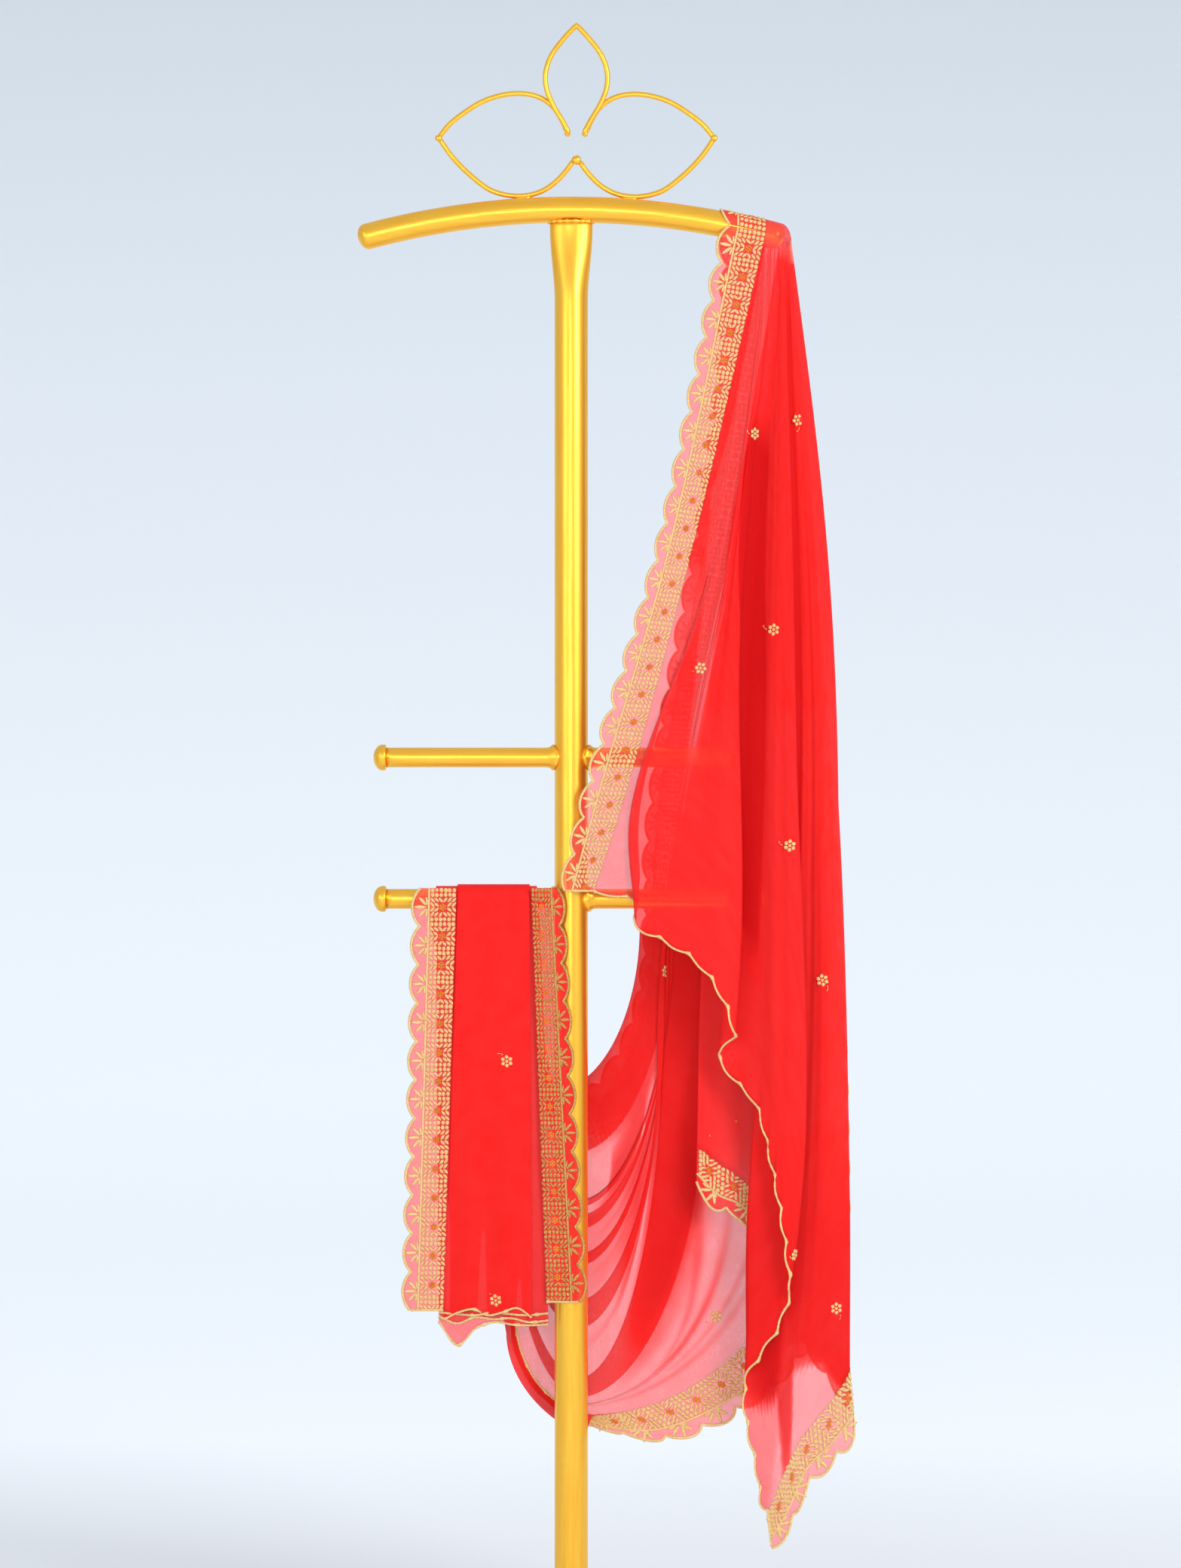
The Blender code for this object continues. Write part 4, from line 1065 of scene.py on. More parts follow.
def turned_surface(shares, places):
    """The part turned back behind the fall, smooth down and across, with soft creases of its own."""
    shares, places = np.asarray(shares, float), np.asarray(places, float)
    line = {c: smooth(TURN["across"], TURN[c], places) for c in TURN_COLUMNS[1:]}
    share, across = shares[:, None], places[None, :]
    x = smooth(FALL_KNOTS, np.stack([line[c] for c in ("x_top", "x_mid", "x_low", "x_hem")]), shares)
    y = smooth(FALL_KNOTS, np.stack([line[c] for c in ("y_top", "y_mid", "y_mid", "y_hem")]), shares)
    x = x + fall_bow(share, 1.0 - across)
    sway = 1.2 * np.sin(2 * np.pi * 4.5 * across + 2.0 * share) * np.sin(np.pi * across)
    y = y + sway * ramp(0.05, 0.4, share)
    z_top = bar_height(line["x_top"])
    z = z_top + (line["z_hem"] - z_top) * share
    return np.stack([x, y, z], axis=-1)


def pleated_places(pleats, start, end, count):
    """Places across and depths of a cloth that doubles back in bands.

    On its way the cloth runs to a band's far side, behind, turns back to its near side and sets
    off again in front, as a smooth curve through those turning points.
    """
    knots = [(start, 0.0)]
    for low, high, depth in pleats:
        knots += [(high, depth), (low, 0.0), (high + 0.012, -depth)]
    knots.append((end, 0.0))
    knots = np.array(knots)
    steps = np.abs(np.diff(knots[:, 0])) + 0.004
    reach = np.concatenate([[0.0], np.cumsum(steps)])
    return smooth(reach, knots, np.linspace(0.0, reach[-1], count)).T


def swag_surface(shares, places, depth=0.0):
    """The back fall and swag at shares of the way from bar to rod and places across.

    Each line falls to the swag's side, swings down a quarter of a superellipse to its low point
    behind the post, climbs a second quarter on the far side and rises straight to the rod.
    """
    share = np.asarray(shares, float)[:, None]
    across = np.asarray(places, float)
    across = across if across.ndim == 2 else np.broadcast_to(across, (len(share), len(across)))
    table = np.array(SWAG_LINES, float)
    value = dict(zip(SWAG_COLUMNS[1:], np.moveaxis(smooth(table[:, 0], table[:, 1:], across), -1, 0)))
    z_bar = bar_height(value["x_bar"])
    z_rod = ROD_HEIGHTS["lower"] - ROD_SEAT
    t = np.clip(share / SWAG_FALL, 0.0, 1.0)
    ease = np.sin(t * np.pi / 2) ** (2.4 - 1.2 * across)
    x_fall = value["x_bar"] + (value["x_side"] - value["x_bar"]) * ease
    z_fall = z_bar + (value["z_turn"] - z_bar) * t
    angle = np.clip((share - SWAG_FALL) / (SWAG_SWING - SWAG_FALL), 0.0, 1.0) * np.pi / 2
    x_swing = value["x_low"] + (value["x_side"] - value["x_low"]) * np.cos(angle) ** (2 / SWING_POWER)
    z_swing = value["z_turn"] + (value["z_low"] - value["z_turn"]) * np.sin(angle) ** (2 / SWING_POWER)
    angle = np.clip((share - SWAG_SWING) / (SWAG_CLIMB - SWAG_SWING), 0.0, 1.0) * np.pi / 2
    x_climb = value["x_low"] + (value["x_left"] - value["x_low"]) * np.sin(angle) ** (2 / SWING_POWER)
    z_climb = value["z_low"] + (value["z_left"] - value["z_low"]) * (1.0 - np.cos(angle) ** (2 / SWING_POWER))
    t = np.clip((share - SWAG_CLIMB) / (1.0 - SWAG_CLIMB), 0.0, 1.0)
    x_rise = value["x_left"] + (value["x_rod"] - value["x_left"]) * t
    z_rise = value["z_left"] + (z_rod - value["z_left"]) * t
    stage = [share < SWAG_FALL, share < SWAG_SWING, share < SWAG_CLIMB]
    stage = [np.broadcast_to(s, across.shape) for s in stage]
    x = np.select(stage, [x_fall, x_swing, x_climb], x_rise)
    z = np.select(stage, [z_fall, z_swing, z_climb], z_rise)
    rise = np.clip((share - SWAG_SWING) / (1.0 - SWAG_SWING), 0.0, 1.0)
    y_bar = round_end(value["x_bar"])
    y = y_bar + (SWAG_DEPTH - y_bar) * np.clip(share / 0.12, 0.0, 1.0) ** 0.5
    y = y + (value["y_low"] - SWAG_DEPTH) * np.exp(-(((share - 0.68) / 0.14) ** 2))
    y = y + (ROD_RADIUS + 2.3 - SWAG_DEPTH) * rise**3
    y = y + depth * np.sin(np.pi * share) ** 0.6 + creases(SWAG_CREASES, share, across)
    return np.stack([x, y, z], axis=-1)


def swag_layers(share, across, height):
    """Layers of chiffon in the swag: bands, a packed inner part above, a rim, and soft streaks."""
    inner = ramp(0.63, 0.66, across) * ramp(450.0, 540.0, height)
    rim = ramp(RIM_LINE, RIM_LINE + 0.01, across) * ramp(0.63, 0.68, share)
    fall = BACK_LAYERS + 0.8 * (1.0 - ramp(860.0, 1000.0, height))
    layers = fall + (SWAG_LAYERS - fall) * ramp(0.31, 0.36, share)
    layers = layers + bands(SWAG_BANDS, share, across) + INNER_LAYERS * inner + RIM_LAYERS * rim
    for place, drift, start, end, depth, width in SWAG_CREASES:
        window = np.sin(np.pi * np.clip((share - start) / (end - start), 0.0, 1.0))
        bell = np.exp(-(((across - place - drift * share) / width) ** 2))
        layers = layers + 0.4 * abs(depth) * window * bell
    return layers


def over_bar(x, angle, lift=0.0):
    """Cloth on the bar: depth is radius times cos of the angle, height the bar's plus radius times sin."""
    radius = round_end(x) + lift
    upright = radius / np.sqrt(1.0 - np.square(x / BAR_BEND_RADIUS))
    x, angle = np.broadcast_arrays(x, angle)
    return np.stack([x, -radius * np.cos(angle), bar_height(x) + upright * np.sin(angle)], axis=-1)


# Borders

def strip_of(seam, crest):
    """A border strip between matching rows of seam and crest points, scaled to whole scallops."""
    reach = distances((seam + crest) / 2)
    count = max(1, round(reach[-1] / SCALLOP_PITCH))
    return {
        "seam": seam,
        "crest": crest,
        "reach": reach * (count * SCALLOP_PITCH / reach[-1]),
        "length": count * SCALLOP_PITCH,
    }


def on_strip(strip, along, width):
    """Points at distances along a strip and widths in from its crest line (45 at the seam)."""
    rows = np.interp(along, strip["reach"], np.arange(len(strip["reach"])))
    seam, crest = rows_between(strip["seam"], rows), rows_between(strip["crest"], rows)
    return crest + (seam - crest) * (np.asarray(width, float) / BORDER_WIDTH)[..., None]


def strip_frame(strip, along, width):
    """Points on a strip with their directions along it, in from the crest, and out of its face."""
    point = on_strip(strip, along, width)
    ahead = on_strip(strip, along + 1.0, width) - on_strip(strip, along - 1.0, width)
    inward = unit(on_strip(strip, along, width + 1.0) - on_strip(strip, along, width - 1.0))
    ahead = unit(ahead)
    normal = unit(np.cross(ahead, inward))
    return point, ahead, np.cross(normal, ahead), normal


def width_ratio(strip, along):
    """A strip's real width from seam to crest at distances along it, as a share of the full width."""
    rows = np.interp(along, strip["reach"], np.arange(len(strip["reach"])))
    span = rows_between(strip["seam"], rows) - rows_between(strip["crest"], rows)
    return np.clip(np.linalg.norm(span, axis=-1) / BORDER_WIDTH, 0.2, 1.2)


def scallop_edge(along):
    """How far the scalloped edge lies in from the crest line: deepest at the cusps between arcs."""
    return SCALLOP_DEPTH * (1.0 - np.abs(np.sin(np.pi * along / SCALLOP_PITCH)) ** 0.62)


def strip_ground(strip):
    """The strip's cloth: from its seam out to the scalloped edge."""
    along = np.linspace(0.0, strip["length"], int(strip["length"] / SCALLOP_PITCH) * 18 + 1)
    share = np.linspace(0.0, 1.0, 7)[:, None]
    edge = scallop_edge(along)[None, :] + 0.6
    width = edge + (BORDER_WIDTH - edge) * share
    return on_strip(strip, np.broadcast_to(along, width.shape), width)


def strip_cord(strip, along, width, radius):
    """A satin cord laid on a strip through places along and across it."""
    place = strip_frame(strip, along, width)
    return tube_form(place[0], place[3], radius, radius * CORD_FLATNESS, sides=6)


def knot_shape():
    """A ring stitch: a low dome with a dimple on each face."""
    profile = [(0.0, 0.10), (0.55, 0.75), (1.0, 0.0), (0.55, -0.75), (0.0, -0.10)]
    points, faces = turned_form(profile, 8)[:2]
    return points, triangles(faces)


def spindle_shape(sides, fullness):
    """A stitch that swells from two points: its radius is a sine of the way along, to a power."""
    share = np.array([0.0, 0.18, 0.5, 0.82, 1.0])
    profile = np.stack([np.sin(np.pi * share) ** fullness, 2 * share - 1], axis=-1)
    points, faces = turned_form(profile, sides)[:2]
    return points[:, [2, 0, 1]], triangles(faces)


KNOT = knot_shape()
LEAF = spindle_shape(4, 0.8)
PETAL = spindle_shape(6, 0.75)


def scatter(shape, frame_at, angle, size):
    """Copies of a small shape in their places: scaled, then turned by an angle in the face.

    frame_at is (point, ahead, inward, normal) arrays, and size the half lengths in x, y and z.
    """
    vertices, faces = shape
    point, ahead, inward, normal = frame_at
    count = len(point)
    angle = np.broadcast_to(np.asarray(angle, float), count)[:, None]
    size = np.broadcast_to(np.asarray(size, float), (count, 3))
    x, y, z = (vertices[:, k][None, :] * size[:, k][:, None] for k in range(3))
    u = x * np.cos(angle) - y * np.sin(angle)
    w = x * np.sin(angle) + y * np.cos(angle)
    points = point[:, None] + u[..., None] * ahead[:, None] + w[..., None] * inward[:, None]
    points = points + z[..., None] * normal[:, None]
    every = faces[None] + (np.arange(count) * len(vertices))[:, None, None]
    apart = np.arange(count)[:, None, None] * [0.00731, 0.00413]
    uv = np.stack([x, y], axis=-1) * MM + apart
    return points.reshape(-1, 3), [every.reshape(-1, 3)], uv.reshape(-1, 2)


def petals_on(strip, count):
    """Five satin petals fanned out in each scallop from the cord below it, short on a narrow strip."""
    forms = []
    middle = (np.arange(count) + 0.5) * SCALLOP_PITCH
    ratio = width_ratio(strip, middle)
    for lean, length, thick in FAN:
        a = math.radians(lean)
        real = length * (0.5 + 0.5 * ratio * math.cos(a) ** 2 + 0.5 * math.sin(a) ** 2)
        along = middle + math.sin(a) * (real + 1.5)
        width = np.full(count, FAN_BASE - math.cos(a) * (length + 0.6))
        place = strip_frame(strip, along, width)
        size = np.stack([real, thick * np.sqrt(ratio), np.full(count, 1.2)], axis=-1)
        forms.append(scatter(PETAL, place, -math.pi / 2 + a, size))
    return forms


def lattice_on(strip, rng):
    """Double rows of ring stitches, and between them leaf stitches that slant out from a sequin spot."""
    step = MOTIF_PITCH / MOTIF_ROWS
    rows = np.arange(int(strip["length"] / step))
    row, column = (a.ravel() for a in np.meshgrid(rows, np.arange(COLUMNS), indexing="ij"))
    along = (row + 0.5) * step + rng.normal(0.0, ALONG_JITTER, len(row))
    width = FIRST_COLUMN + COLUMN_STEP * column + rng.normal(0.0, ACROSS_JITTER, len(row))
    down = row % MOTIF_ROWS - (MOTIF_ROWS + 1) / 2
    side = column - (COLUMNS - 1) / 2
    ring = down < -2.0
    leaf = ~ring & ((np.abs(down) > 1.0) | (np.abs(side) > 1.0))
    ratio = width_ratio(strip, along)
    swell = 1.0 + rng.normal(0.0, SIZE_JITTER, len(row))
    rings = np.stack([RING_ALONG * swell, RING_ACROSS * ratio * swell, 1.25 * swell], axis=-1)
    steep = np.arctan(ratio * math.tan(math.radians(LEAF_SLANT)))
    slant = np.sign(down * side) * steep + rng.normal(0.0, SLANT_JITTER, len(row))
    narrow = 0.5 + 0.5 * ratio
    leaves = np.stack([LEAF_LENGTH * narrow, LEAF_WIDTH * narrow, 1.1 + 0.0 * ratio], axis=-1)
    forms = [
        scatter(KNOT, strip_frame(strip, along[ring], width[ring]), 0.0, rings[ring]),
        scatter(LEAF, strip_frame(strip, along[leaf], width[leaf]), slant[leaf], leaves[leaf]),
    ]
    spots = np.arange((MOTIF_ROWS / 2 + 1) * step, strip["length"] - 3.0, MOTIF_PITCH)
    middle = np.full(len(spots), FIRST_COLUMN + COLUMN_STEP * (COLUMNS - 1) / 2)
    ratio = width_ratio(strip, spots)
    bead = np.stack([SEQUIN_RADIUS + 0 * ratio, SEQUIN_RADIUS * ratio, 1.3 + 0 * ratio], axis=-1)
    sequins = [scatter(KNOT, strip_frame(strip, spots, middle), 0.0, bead)]
    for turn in np.arange(6) * math.pi / 3:
        out_along, out_across = SEQUIN_RING * math.cos(turn), SEQUIN_RING * math.sin(turn)
        place = strip_frame(strip, spots + out_along, middle + out_across)
        sequins.append(scatter(KNOT, place, 0.0, bead * [0.85, 0.85, 0.7]))
    return forms, sequins


def build_border(name, strip, finishes, rng, thread="thread"):
    """A border's embroidery: scalloped and straight cords, petals, lattice and sequin spots."""
    count = round(strip["length"] / SCALLOP_PITCH)
    along = np.linspace(CORD_END, strip["length"] - CORD_END, count * 26)
    forms = [strip_cord(strip, along, scallop_edge(along) + 1.0, SCALLOP_CORD)]
    straight = np.linspace(CORD_END, strip["length"] - CORD_END, count * 12)
    width = np.full(len(straight), STRAIGHT_CORD_WIDTH)
    forms.append(strip_cord(strip, straight, width, STRAIGHT_CORD))
    forms += petals_on(strip, count)
    stitches, sequins = lattice_on(strip, rng)
    forms += stitches
    points, faces, uv = join_forms(forms)
    stitched = add_piece(f"{name}_stitches", points, faces, finishes[thread], uv)
    points, faces, uv = join_forms(sequins)
    spots = add_piece(f"{name}_sequins", points, faces, finishes["sequin"], uv)
    return [stitched, spots]


def build_hem(name, path, finishes, reach=None):
    """Gold piping along a hem, swelling a little with each stitch and at each cusp of its scallops."""
    own = distances(path)
    swell = HEM_RADIUS * (1.0 + 0.15 * np.sin(own * 2.4))
    cusp = np.mod((own if reach is None else reach) / HEM_PITCH + 0.5, 1.0) - 0.5
    swell = swell * (1.0 + 0.8 * np.exp(-((cusp * HEM_PITCH / 2.2) ** 2)))
    points, faces, uv = tube_form(path, (0.0, 1.0, 0.0), swell, swell * 0.8, sides=6)
    made = add_piece(name, points, faces, finishes["thread"], uv)
    return made


def surface_frame(grid, targets):
    """The grid's points nearest to (x, z) targets as seen from the front, with their directions."""
    down, across = np.gradient(grid, axis=0), np.gradient(grid, axis=1)
    flat = grid.reshape(-1, 3)
    behind = 0.3 * (flat[:, 1] - flat[:, 1].min())
    place = [np.argmin(np.hypot(flat[:, 0] - x, flat[:, 2] - z) + behind) for x, z in targets]
    ahead = unit(across.reshape(-1, 3)[place])
    normal = unit(np.cross(ahead, down.reshape(-1, 3)[place]))
    return flat[place], ahead, np.cross(normal, ahead), normal


def build_sprigs(name, grid, targets, finishes):
    """Six-petal sprigs about 12 mm wide: petals round a knot, with a thin bent stalk."""
    point, ahead, inward, normal = surface_frame(grid, targets)
    forms = [scatter(KNOT, (point, ahead, inward, normal), 0.0, (1.7, 1.7, 1.6))]
    for k in range(SPRIG_PETALS):
        turn = 2 * math.pi * k / SPRIG_PETALS + 0.4
        out = point + 4.1 * (math.cos(turn) * ahead + math.sin(turn) * inward)
        forms.append(scatter(PETAL, (out, ahead, inward, normal), turn, (2.1, 2.1, 1.3)))
    for reach, turn, bend in ((8.2, 2.0, 2.3), (10.6, 2.2, 3.1)):
        out = point + reach * (math.cos(turn) * ahead + math.sin(turn) * inward)
        forms.append(scatter(LEAF, (out, ahead, inward, normal), bend, (1.7, 0.45, 0.5)))
    points, faces, uv = join_forms(forms)
    made = add_piece(name, points, faces, finishes["thread"], uv)
    return made


# Pieces of the stole

def build_front_fall(finishes, rng):
    """The front fall with its left border, its gold hem and its pointed tail."""
    shares = np.linspace(0.0, 1.0, 120)
    places = np.unique(np.concatenate([np.linspace(0.0, 1.0, 170), FRONT["across"]]))
    panel = front_surface(shares, places)
    fine = np.linspace(0.0, 1.0, 240)
    seam = front_surface(fine, [0.0, 0.01])[:, 0]
    crest_x = smooth(FALL_KNOTS, np.array(LEFT_CREST_X), fine)
    flutter = 1.6 * np.sin(fine * 21.0) + 1.1 * np.sin(fine * 47.0 + 1.0)
    crest_y = seam[:, 1] + flutter * ramp(0.0, 0.1, fine)
    crest = np.stack([crest_x, crest_y, seam[:, 2] + 8.0 * (1 - fine)], axis=-1)
    left = strip_of(seam, crest)
    tail_places = np.linspace(TAIL_START, 1.0, 60)
    tail_seam = front_surface([0.0, 1.0], tail_places)[1]
    knots = FRONT["across"][FRONT["across"] >= TAIL_START]
    tail = strip_of(tail_seam, smooth(knots, np.array(TAIL_CRESTS, float), tail_places))
    layers = front_layers(shares, places, panel[..., 2])
    ground = SHEET_LAYERS["front_borders"]
    sheets = [(panel, layers), (strip_ground(left), ground), (strip_ground(tail), ground)]
    made = add_cloth("front_fall_cloth", sheets, finishes["chiffon"])
    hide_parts("front_fall", "left_border", "tail_border")
    trims = build_border("left_border", left, finishes, rng)
    trims += build_border("tail_border", tail, finishes, rng)
    hem_places = np.linspace(0.0, TAIL_START, 520)
    hem = front_surface([0.0, 1.0], hem_places)[1]
    inner = np.linspace(BORDER_WIDTH - 1.0, FOOT_END, 24)
    foot = on_strip(left, np.full(24, left["length"] - 0.3), inner[::-1])
    tip = on_strip(tail, np.full(24, 0.3), inner)
    reach = hem_scallops(hem_places)[2]
    reach = np.concatenate([reach[0] - inner, reach, reach[-1] + BORDER_WIDTH - inner])
    trims.append(build_hem("front_fall_hem", np.concatenate([foot, hem, tip]), finishes, reach))
    trims.append(build_sprigs("front_fall_sprigs", panel, FRONT_SPRIGS, finishes))


def build_turned_edge(finishes, rng):
    """The right part turned back behind the fall, with the border along its foot."""
    shares, across = np.linspace(0.02, 1.0, 90), np.linspace(0.0, 1.0, 70)
    panel = turned_surface(shares, across)
    places = np.linspace(0.0, 1.0, 110)
    seam = turned_surface([0.0, 1.0], places)[1]
    foot = strip_of(seam, smooth(TURN["across"], np.array(TURN_CRESTS, float), places))
    light = ramp(0.3, 0.6, across)[None, :] * (1.0 - ramp(0.1, 0.4, shares))[:, None]
    layers = SHEET_LAYERS["turned_edge"] - 1.4 * light
    sheets = [(panel, layers), (strip_ground(foot), SHEET_LAYERS["turned_border"])]
    made = add_cloth("turned_edge_cloth", sheets, finishes["chiffon"])
    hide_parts("turned_edge", "turned_border")
    trims = build_border("turned_border", foot, finishes, rng)
    beads = scatter(KNOT, surface_frame(panel, TURN_BEADS), 0.0, (1.2, 1.2, 2.4))
    spots = add_piece("turned_edge_beads", *beads[:2], finishes["sequin"], beads[2])
    trims.append(spots)


def build_saddle(finishes, rng):
    """The stretch over the bar, plain at the bar's end and bordered beside it."""
    angle = np.linspace(0.0, np.pi, 40)[:, None]
    plain = over_bar(np.linspace(SADDLE_SEAM_X, SADDLE_END_X, 26)[None, :], angle)
    seam = over_bar(np.full((1, 1), SADDLE_SEAM_X), angle, 0.1)[:, 0]
    crest = over_bar(np.full((1, 1), SADDLE_CREST_X), angle, 0.1)[:, 0]
    strip = strip_of(seam, crest)
    sheets = [(plain, SHEET_LAYERS["saddle"]), (strip_ground(strip), SHEET_LAYERS["saddle"])]
    made = add_cloth("bar_saddle_cloth", sheets, finishes["chiffon"])
    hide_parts("bar_saddle", "saddle_border")
    trims = build_border("saddle_border", strip, finishes, rng)


def build_swag(finishes, rng):
    """The back fall and swag: pleated cloth, turned over its borders where it swings and climbs."""
    shares = np.concatenate(
        [np.linspace(0.0, 0.355, 60), np.linspace(0.36, 0.80, 130), np.linspace(0.805, 1.0, 24)]
    )
    first = UPPER_SEAM * (1.0 - ramp(0.333, 0.360, shares))
    last = LOWER_SEAM + (1.0 - LOWER_SEAM) * ramp(0.63, 0.70, shares)
    places, depth = pleated_places(SWAG_PLEATS, UPPER_SEAM, LOWER_SEAM, 150)
    share_across = (places - UPPER_SEAM) / (LOWER_SEAM - UPPER_SEAM)
    near_top = (1.0 - ramp(0.0, 0.055, share_across))[None, :] * (first - UPPER_SEAM)[:, None]
    near_foot = ramp(0.88, 1.0, share_across)[None, :] * (last - LOWER_SEAM)[:, None]
    where = np.clip(places[None, :] + near_top + near_foot, 0.0, 1.0)
    panel = swag_surface(shares, where, depth[None, :])
    fine = np.linspace(0.0, 1.0, 420)
    strips = {}
    hidden = {"upper": ramp(0.322, 0.352, fine), "lower": ramp(0.60, 0.67, fine)}
    for name, seam, crest, tucked in (("upper", UPPER_SEAM, 0.0, 0.008), ("lower", LOWER_SEAM, 1.0, 0.955)):
        edge = crest + (tucked - crest) * hidden[name]
        edges = swag_surface(fine, np.stack([np.full(len(fine), seam), edge], axis=-1))
        edges[..., 1] += TUCK_DEPTH * hidden[name][:, None]
        strips[name] = strip_of(edges[:, 0], edges[:, 1])
    sheets = [(panel, swag_layers(shares[:, None], where, panel[..., 2]))]
    sheets += [(strip_ground(strips[name]), SHEET_LAYERS[f"{name}_border"]) for name in ("upper", "lower")]
    made = add_cloth("swag_cloth", sheets, finishes["chiffon"])
    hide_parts("swag_panel", "swag_border_upper", "swag_border_lower")
    outside = dict(strips["upper"])
    for line in ("seam", "crest"):
        outside[line] = outside[line] + [0.0, 0.9, 0.0]
    trims = []
    for name, strip in (("upper", outside), ("lower", strips["lower"])):
        trims += build_border(f"swag_border_{name}", strip, finishes, rng)
    rim = swag_surface(np.linspace(0.66, 0.83, 90), [RIM_LINE, RIM_LINE + 0.01])[:, 0] - [0.0, 1.0, 0.0]
    trims.append(build_hem("swag_rim_cord", rim, finishes))
    trims.append(build_sprigs("swag_sprigs", panel, SWAG_SPRIGS, finishes))


def fold_sheet(edges, ends, foot, lift, back_z, shares):
    """A sheet over the rod: from its front foot straight up, half round the rod, and down behind.

    Its left and right edges run from edges at the rod to ends at the foot, and the foot's height
    is a smooth curve through evenly spread heights. Soft ripples in depth fade out towards the rod.
    """
    z_rod, radius = ROD_HEIGHTS["lower"], ROD_RADIUS + lift
    across = np.linspace(0.0, 1.0, 64)[None, :]
    z_foot = smooth(np.linspace(0.0, 1.0, len(foot)), np.array(foot), across)
    front = np.linspace(0.0, 1.0, shares)[:, None]
    down = 1.0 - front
    z_front = z_foot + (z_rod - z_foot) * front
    at_rod = edges[0] + (edges[1] - edges[0]) * across
    ripple = 1.2 * np.sin(at_rod / 5.0 + 1.4 * down) * down
    y_front = -radius - ripple - 0.8 * down
    arc = np.linspace(0.0, np.pi, 16)[1:, None]
    y_arc = -radius * np.cos(arc) + 0 * across
    z_arc = z_rod + radius * np.sin(arc) + 0 * across
    y = np.concatenate([y_front, y_arc, y_arc[-1:]])
    z = np.concatenate([z_front, z_arc, np.full((1, across.shape[1]), back_z)])
    below = np.clip((z_rod - z) / (z_rod - z_foot), 0.0, 1.0)
    below[shares:] = 0.0
    left = edges[0] + (ends[0] - edges[0]) * below
    right = edges[1] + (ends[1] - edges[1]) * below
    x = left + (right - left) * across
    return np.stack([x, y, z], axis=-1)


def foot_line(strip):
    """The line along a strip's lower end, from its seam out to its scalloped edge."""
    inner = np.linspace(BORDER_WIDTH - 0.5, FOOT_END, 30)
    return on_strip(strip, np.full(30, strip["length"] - 0.3), inner)


def build_rod_fold(finishes, rng):
    """The folded end over the lower left rod: its front panel, the layers under it and two borders."""
    panel = fold_sheet(PANEL_EDGES, PANEL_ENDS, PANEL_FOOT, PANEL_LIFT, PANEL_BACK_Z, PANEL_ROWS)
    under = [
        fold_sheet(UNDER_EDGES, UNDER_ENDS, foot, 1.0 + k, UNDER_BACK_Z, 60)
        for k, foot in enumerate(UNDER_FEET)
    ]
    strips = {}
    for side, line in HANGING_BORDERS.items():
        fine = np.linspace(0.0, 1.0, 120)
        z = HANGING_TOP_Z + (line["foot"] - HANGING_TOP_Z) * fine
        sway = 1.2 * np.sin(fine * 17.0) * ramp(0.0, 0.2, fine)
        rows = {}
        for k, edge in enumerate(("seam", "crest")):
            x = line[edge][0] + (line[edge][1] - line[edge][0]) * fine
            rows[edge] = np.stack([x, line["y"][k] - 0.6 + sway * (0.3 + 0.7 * k), z], axis=-1)
        strips[side] = strip_of(rows["seam"], rows["crest"])
    sheets = [(panel, SHEET_LAYERS["fold_panel"])]
    sheets += [(strip_ground(strips["left"]), SHEET_LAYERS["fold_left_border"])]
    front = add_cloth("rod_fold_panel_cloth", sheets, finishes["chiffon"])
    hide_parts("rod_fold_panel", "hanging_border_left")
    trims = build_border("hanging_border_left", strips["left"], finishes, rng)
    trims.append(build_hem("rod_fold_hem", panel[0], finishes))
    trims.append(build_hem("hanging_foot_left", foot_line(strips["left"]), finishes))
    trims.append(build_sprigs("rod_fold_sprigs", panel[:PANEL_ROWS], FOLD_SPRIGS, finishes))
    sheets = [(layer, SHEET_LAYERS["fold_under"]) for layer in under]
    sheets += [(strip_ground(strips["right"]), SHEET_LAYERS["fold_right_border"])]
    back = add_cloth("rod_fold_layers_cloth", sheets, finishes["chiffon"])
    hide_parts("rod_fold_layers", "hanging_border_right")
    # This border's thread is the darker copy, painted shade
    trims = build_border("hanging_border_right", strips["right"], finishes, rng, thread="shaded_thread")
    trims.append(build_hem("hanging_foot_right", foot_line(strips["right"]), finishes))
    for k, layer in enumerate(under):
        trims.append(build_hem(f"rod_fold_layer_hem_{k}", layer[0], finishes))


# Stage, lights and camera

def build_stage():
    """A pale floor that sweeps up into the backdrop: level, then a quarter circle, then upright.

    The backdrop stands 7 m behind, so that the stole is open to view from every side.
    """
    radius, back, front, top, half = 2000.0, 7000.0, -20000.0, 6000.0, 20000.0
    turn = np.linspace(0.0, np.pi / 2, 24)
    curve = [(back - radius + radius * math.sin(a), radius - radius * math.cos(a)) for a in turn]
    profile = np.array([(front, 0.0), (back - radius - 600.0, 0.0), *curve, (back, top)])
    x = np.linspace(-half, half, 9)
    grid = np.stack(np.broadcast_arrays(x[None, :], profile[:, 0, None], profile[:, 1, None]), axis=-1).copy()
    grid[..., 2] -= 0.5
    # The sweep is painted darker towards the top as painted shade, and glows behind the stand as painted
    # light
    glow = ((0.22, 0.235, 0.25), (0.07, 0.07, 0.06))
    finish = painted_light_sweep_material("pale_sweep", (0.86, 0.89, 0.93), (0.72, 0.78, 0.84), (0.17, 2.86), 0.9, *glow)
    points = grid.reshape(-1, 3)
    mesh = bpy.data.meshes.new("pale_sweep")
    mesh.from_pydata((points * MM).tolist(), [], grid_quads(*grid.shape[:2]).tolist())
    mesh.shade_smooth()
    mesh.materials.append(finish)
    floor = bpy.data.objects.new("pale_sweep", mesh)
    bpy.context.scene.collection.objects.link(floor)


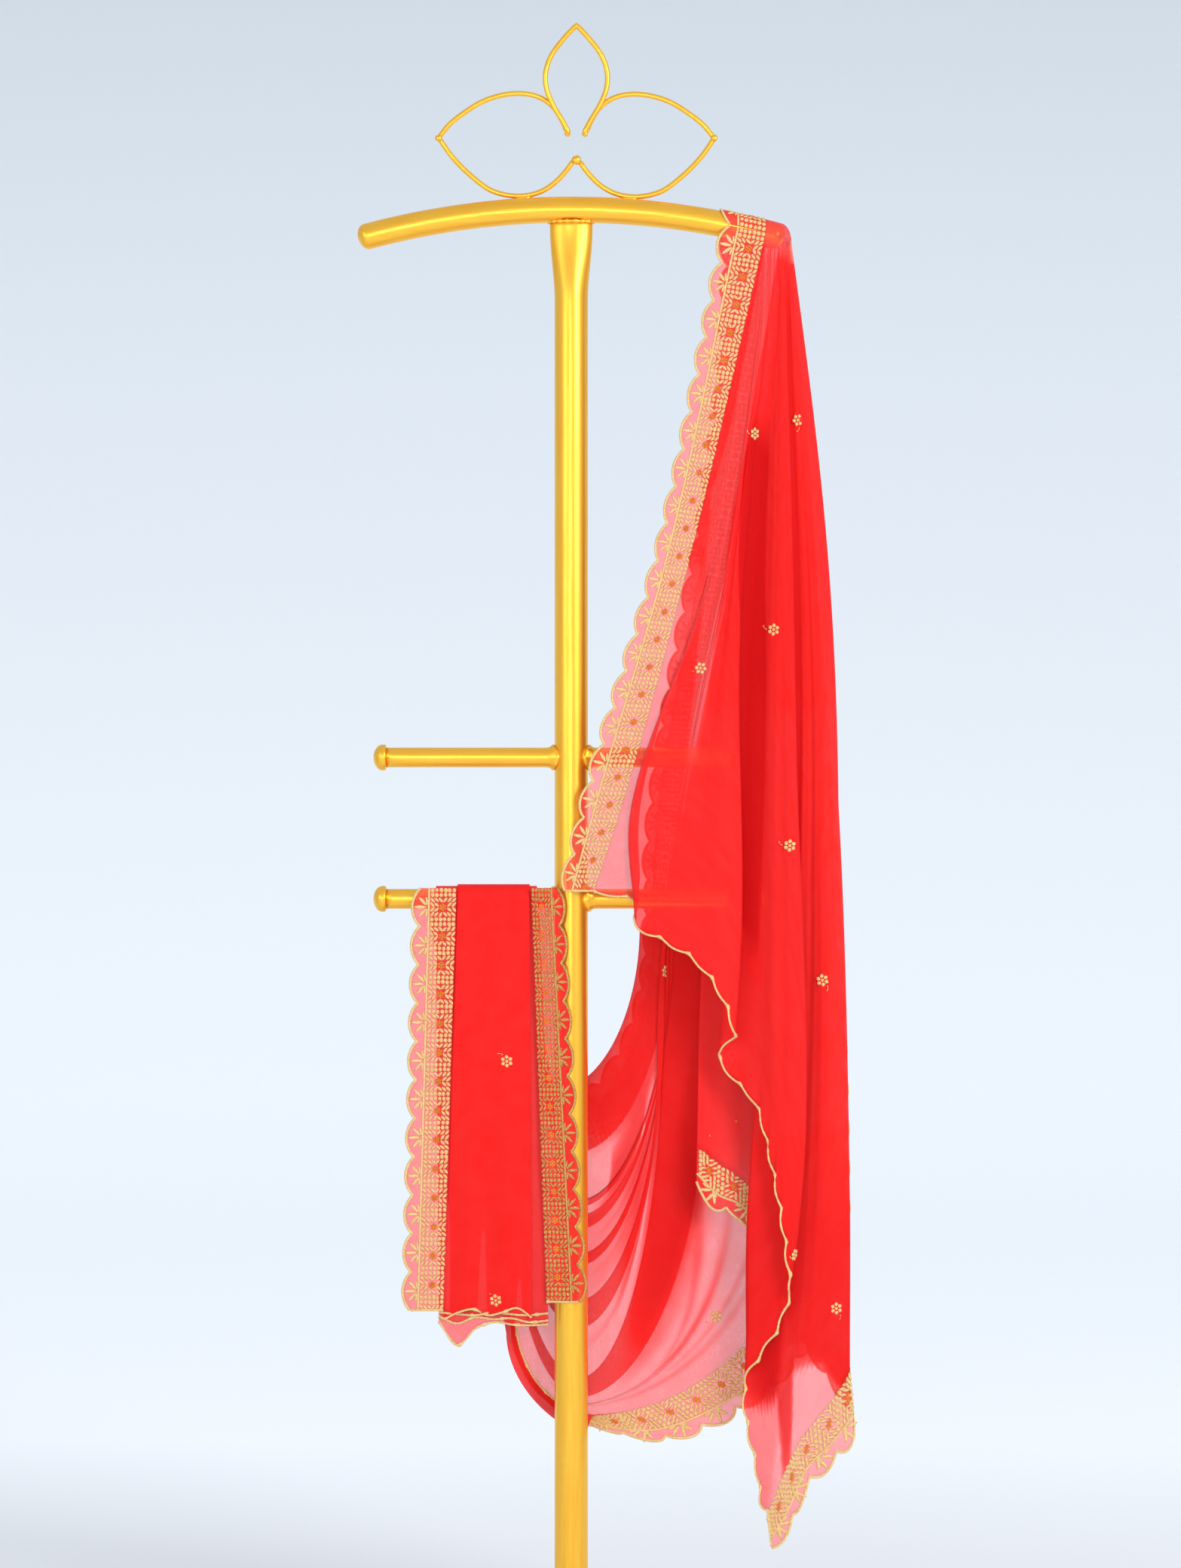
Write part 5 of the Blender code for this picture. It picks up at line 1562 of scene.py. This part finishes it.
def add_softbox(name, place, target, size, power):
    """A square area light that looks at a target, in metres and watts."""
    data = bpy.data.lights.new(name, "AREA")
    data.size = size
    data.energy = power
    made = bpy.data.objects.new(name, data)
    bpy.context.scene.collection.objects.link(made)
    made.location = place
    direction = np.array(target, float) - np.array(place, float)
    pitch = math.acos(-direction[2] / np.linalg.norm(direction))
    heading = math.atan2(direction[1], direction[0]) - math.pi / 2
    made.rotation_euler = (pitch, 0.0, heading)


def build_lights():
    """Soft daylight from all round, and three softboxes in front of the stand."""
    world = bpy.data.worlds.new("soft_daylight")
    bpy.context.scene.world = world
    world.use_nodes = True
    sky = world.node_tree.nodes["Background"]
    sky.inputs["Color"].default_value = (0.93, 0.96, 1.0, 1.0)
    sky.inputs["Strength"].default_value = 0.72
    add_softbox("key_softbox", (2.0, -2.4, 2.0), LIGHT_TARGET, 1.2, 55.0)
    add_softbox("fill_softbox", (-2.0, -2.4, 1.4), LIGHT_TARGET, 1.6, 14.0)
    add_softbox("front_softbox", (-0.4, -3.8, 1.2), LIGHT_TARGET, 1.0, 18.0)


def build_camera():
    """The photograph's view: level, from 4.5 m in front, 1.508 m tall at the stand's plane."""
    data = bpy.data.cameras.new("photo_camera")
    data.sensor_fit = "VERTICAL"
    data.sensor_height = SENSOR_HEIGHT
    data.lens = CAMERA_LENS
    data.clip_end = 60.0
    made = bpy.data.objects.new("photo_camera", data)
    bpy.context.scene.collection.objects.link(made)
    made.location = CAMERA_PLACE
    made.rotation_euler = (math.pi / 2, 0.0, 0.0)
    scene = bpy.context.scene
    scene.camera = made
    scene.view_settings.view_transform = "Standard"
    scene.cycles.transparent_max_bounces = 64


def main():
    """The finishes, then the stand and the stole, then the stage, lights and camera."""
    rng = np.random.default_rng(SEED)
    paint = brushed_paint_group()
    thread = satin_thread_group()
    gilt = gilt_material("gilt_upright", paint, (0.0, 0.0, 0.0))
    gilt_across = gilt_material("gilt_across", paint, (0.0, math.pi / 2, 0.0))
    finishes = {
        "chiffon": chiffon_material(crepe_weave_group()),
        "thread": thread_material("gold_thread", thread, (1.0, 0.82, 0.42), (0.90, 0.52, 0.16), 0.30, 0.36),
        # A darker copy of the gold thread, painted shade for the right hanging border that faces away from
        # the lamps
        "shaded_thread": thread_material(
            "painted_shade_gold_thread", thread, (0.86, 0.52, 0.16), (0.50, 0.20, 0.04), 0.35, 0.36
        ),
        "sequin": thread_material("copper_sequin", thread, (0.98, 0.42, 0.05), (0.85, 0.25, 0.03), 0.6, 0.22),
    }
    build_foot(gilt_across)
    build_post(gilt)
    build_bar(gilt_across)
    build_rods(gilt_across)
    build_lotus(gilt_across)
    build_front_fall(finishes, rng)
    build_turned_edge(finishes, rng)
    build_saddle(finishes, rng)
    build_swag(finishes, rng)
    build_rod_fold(finishes, rng)
    build_stage()
    build_lights()
    build_camera()


main()
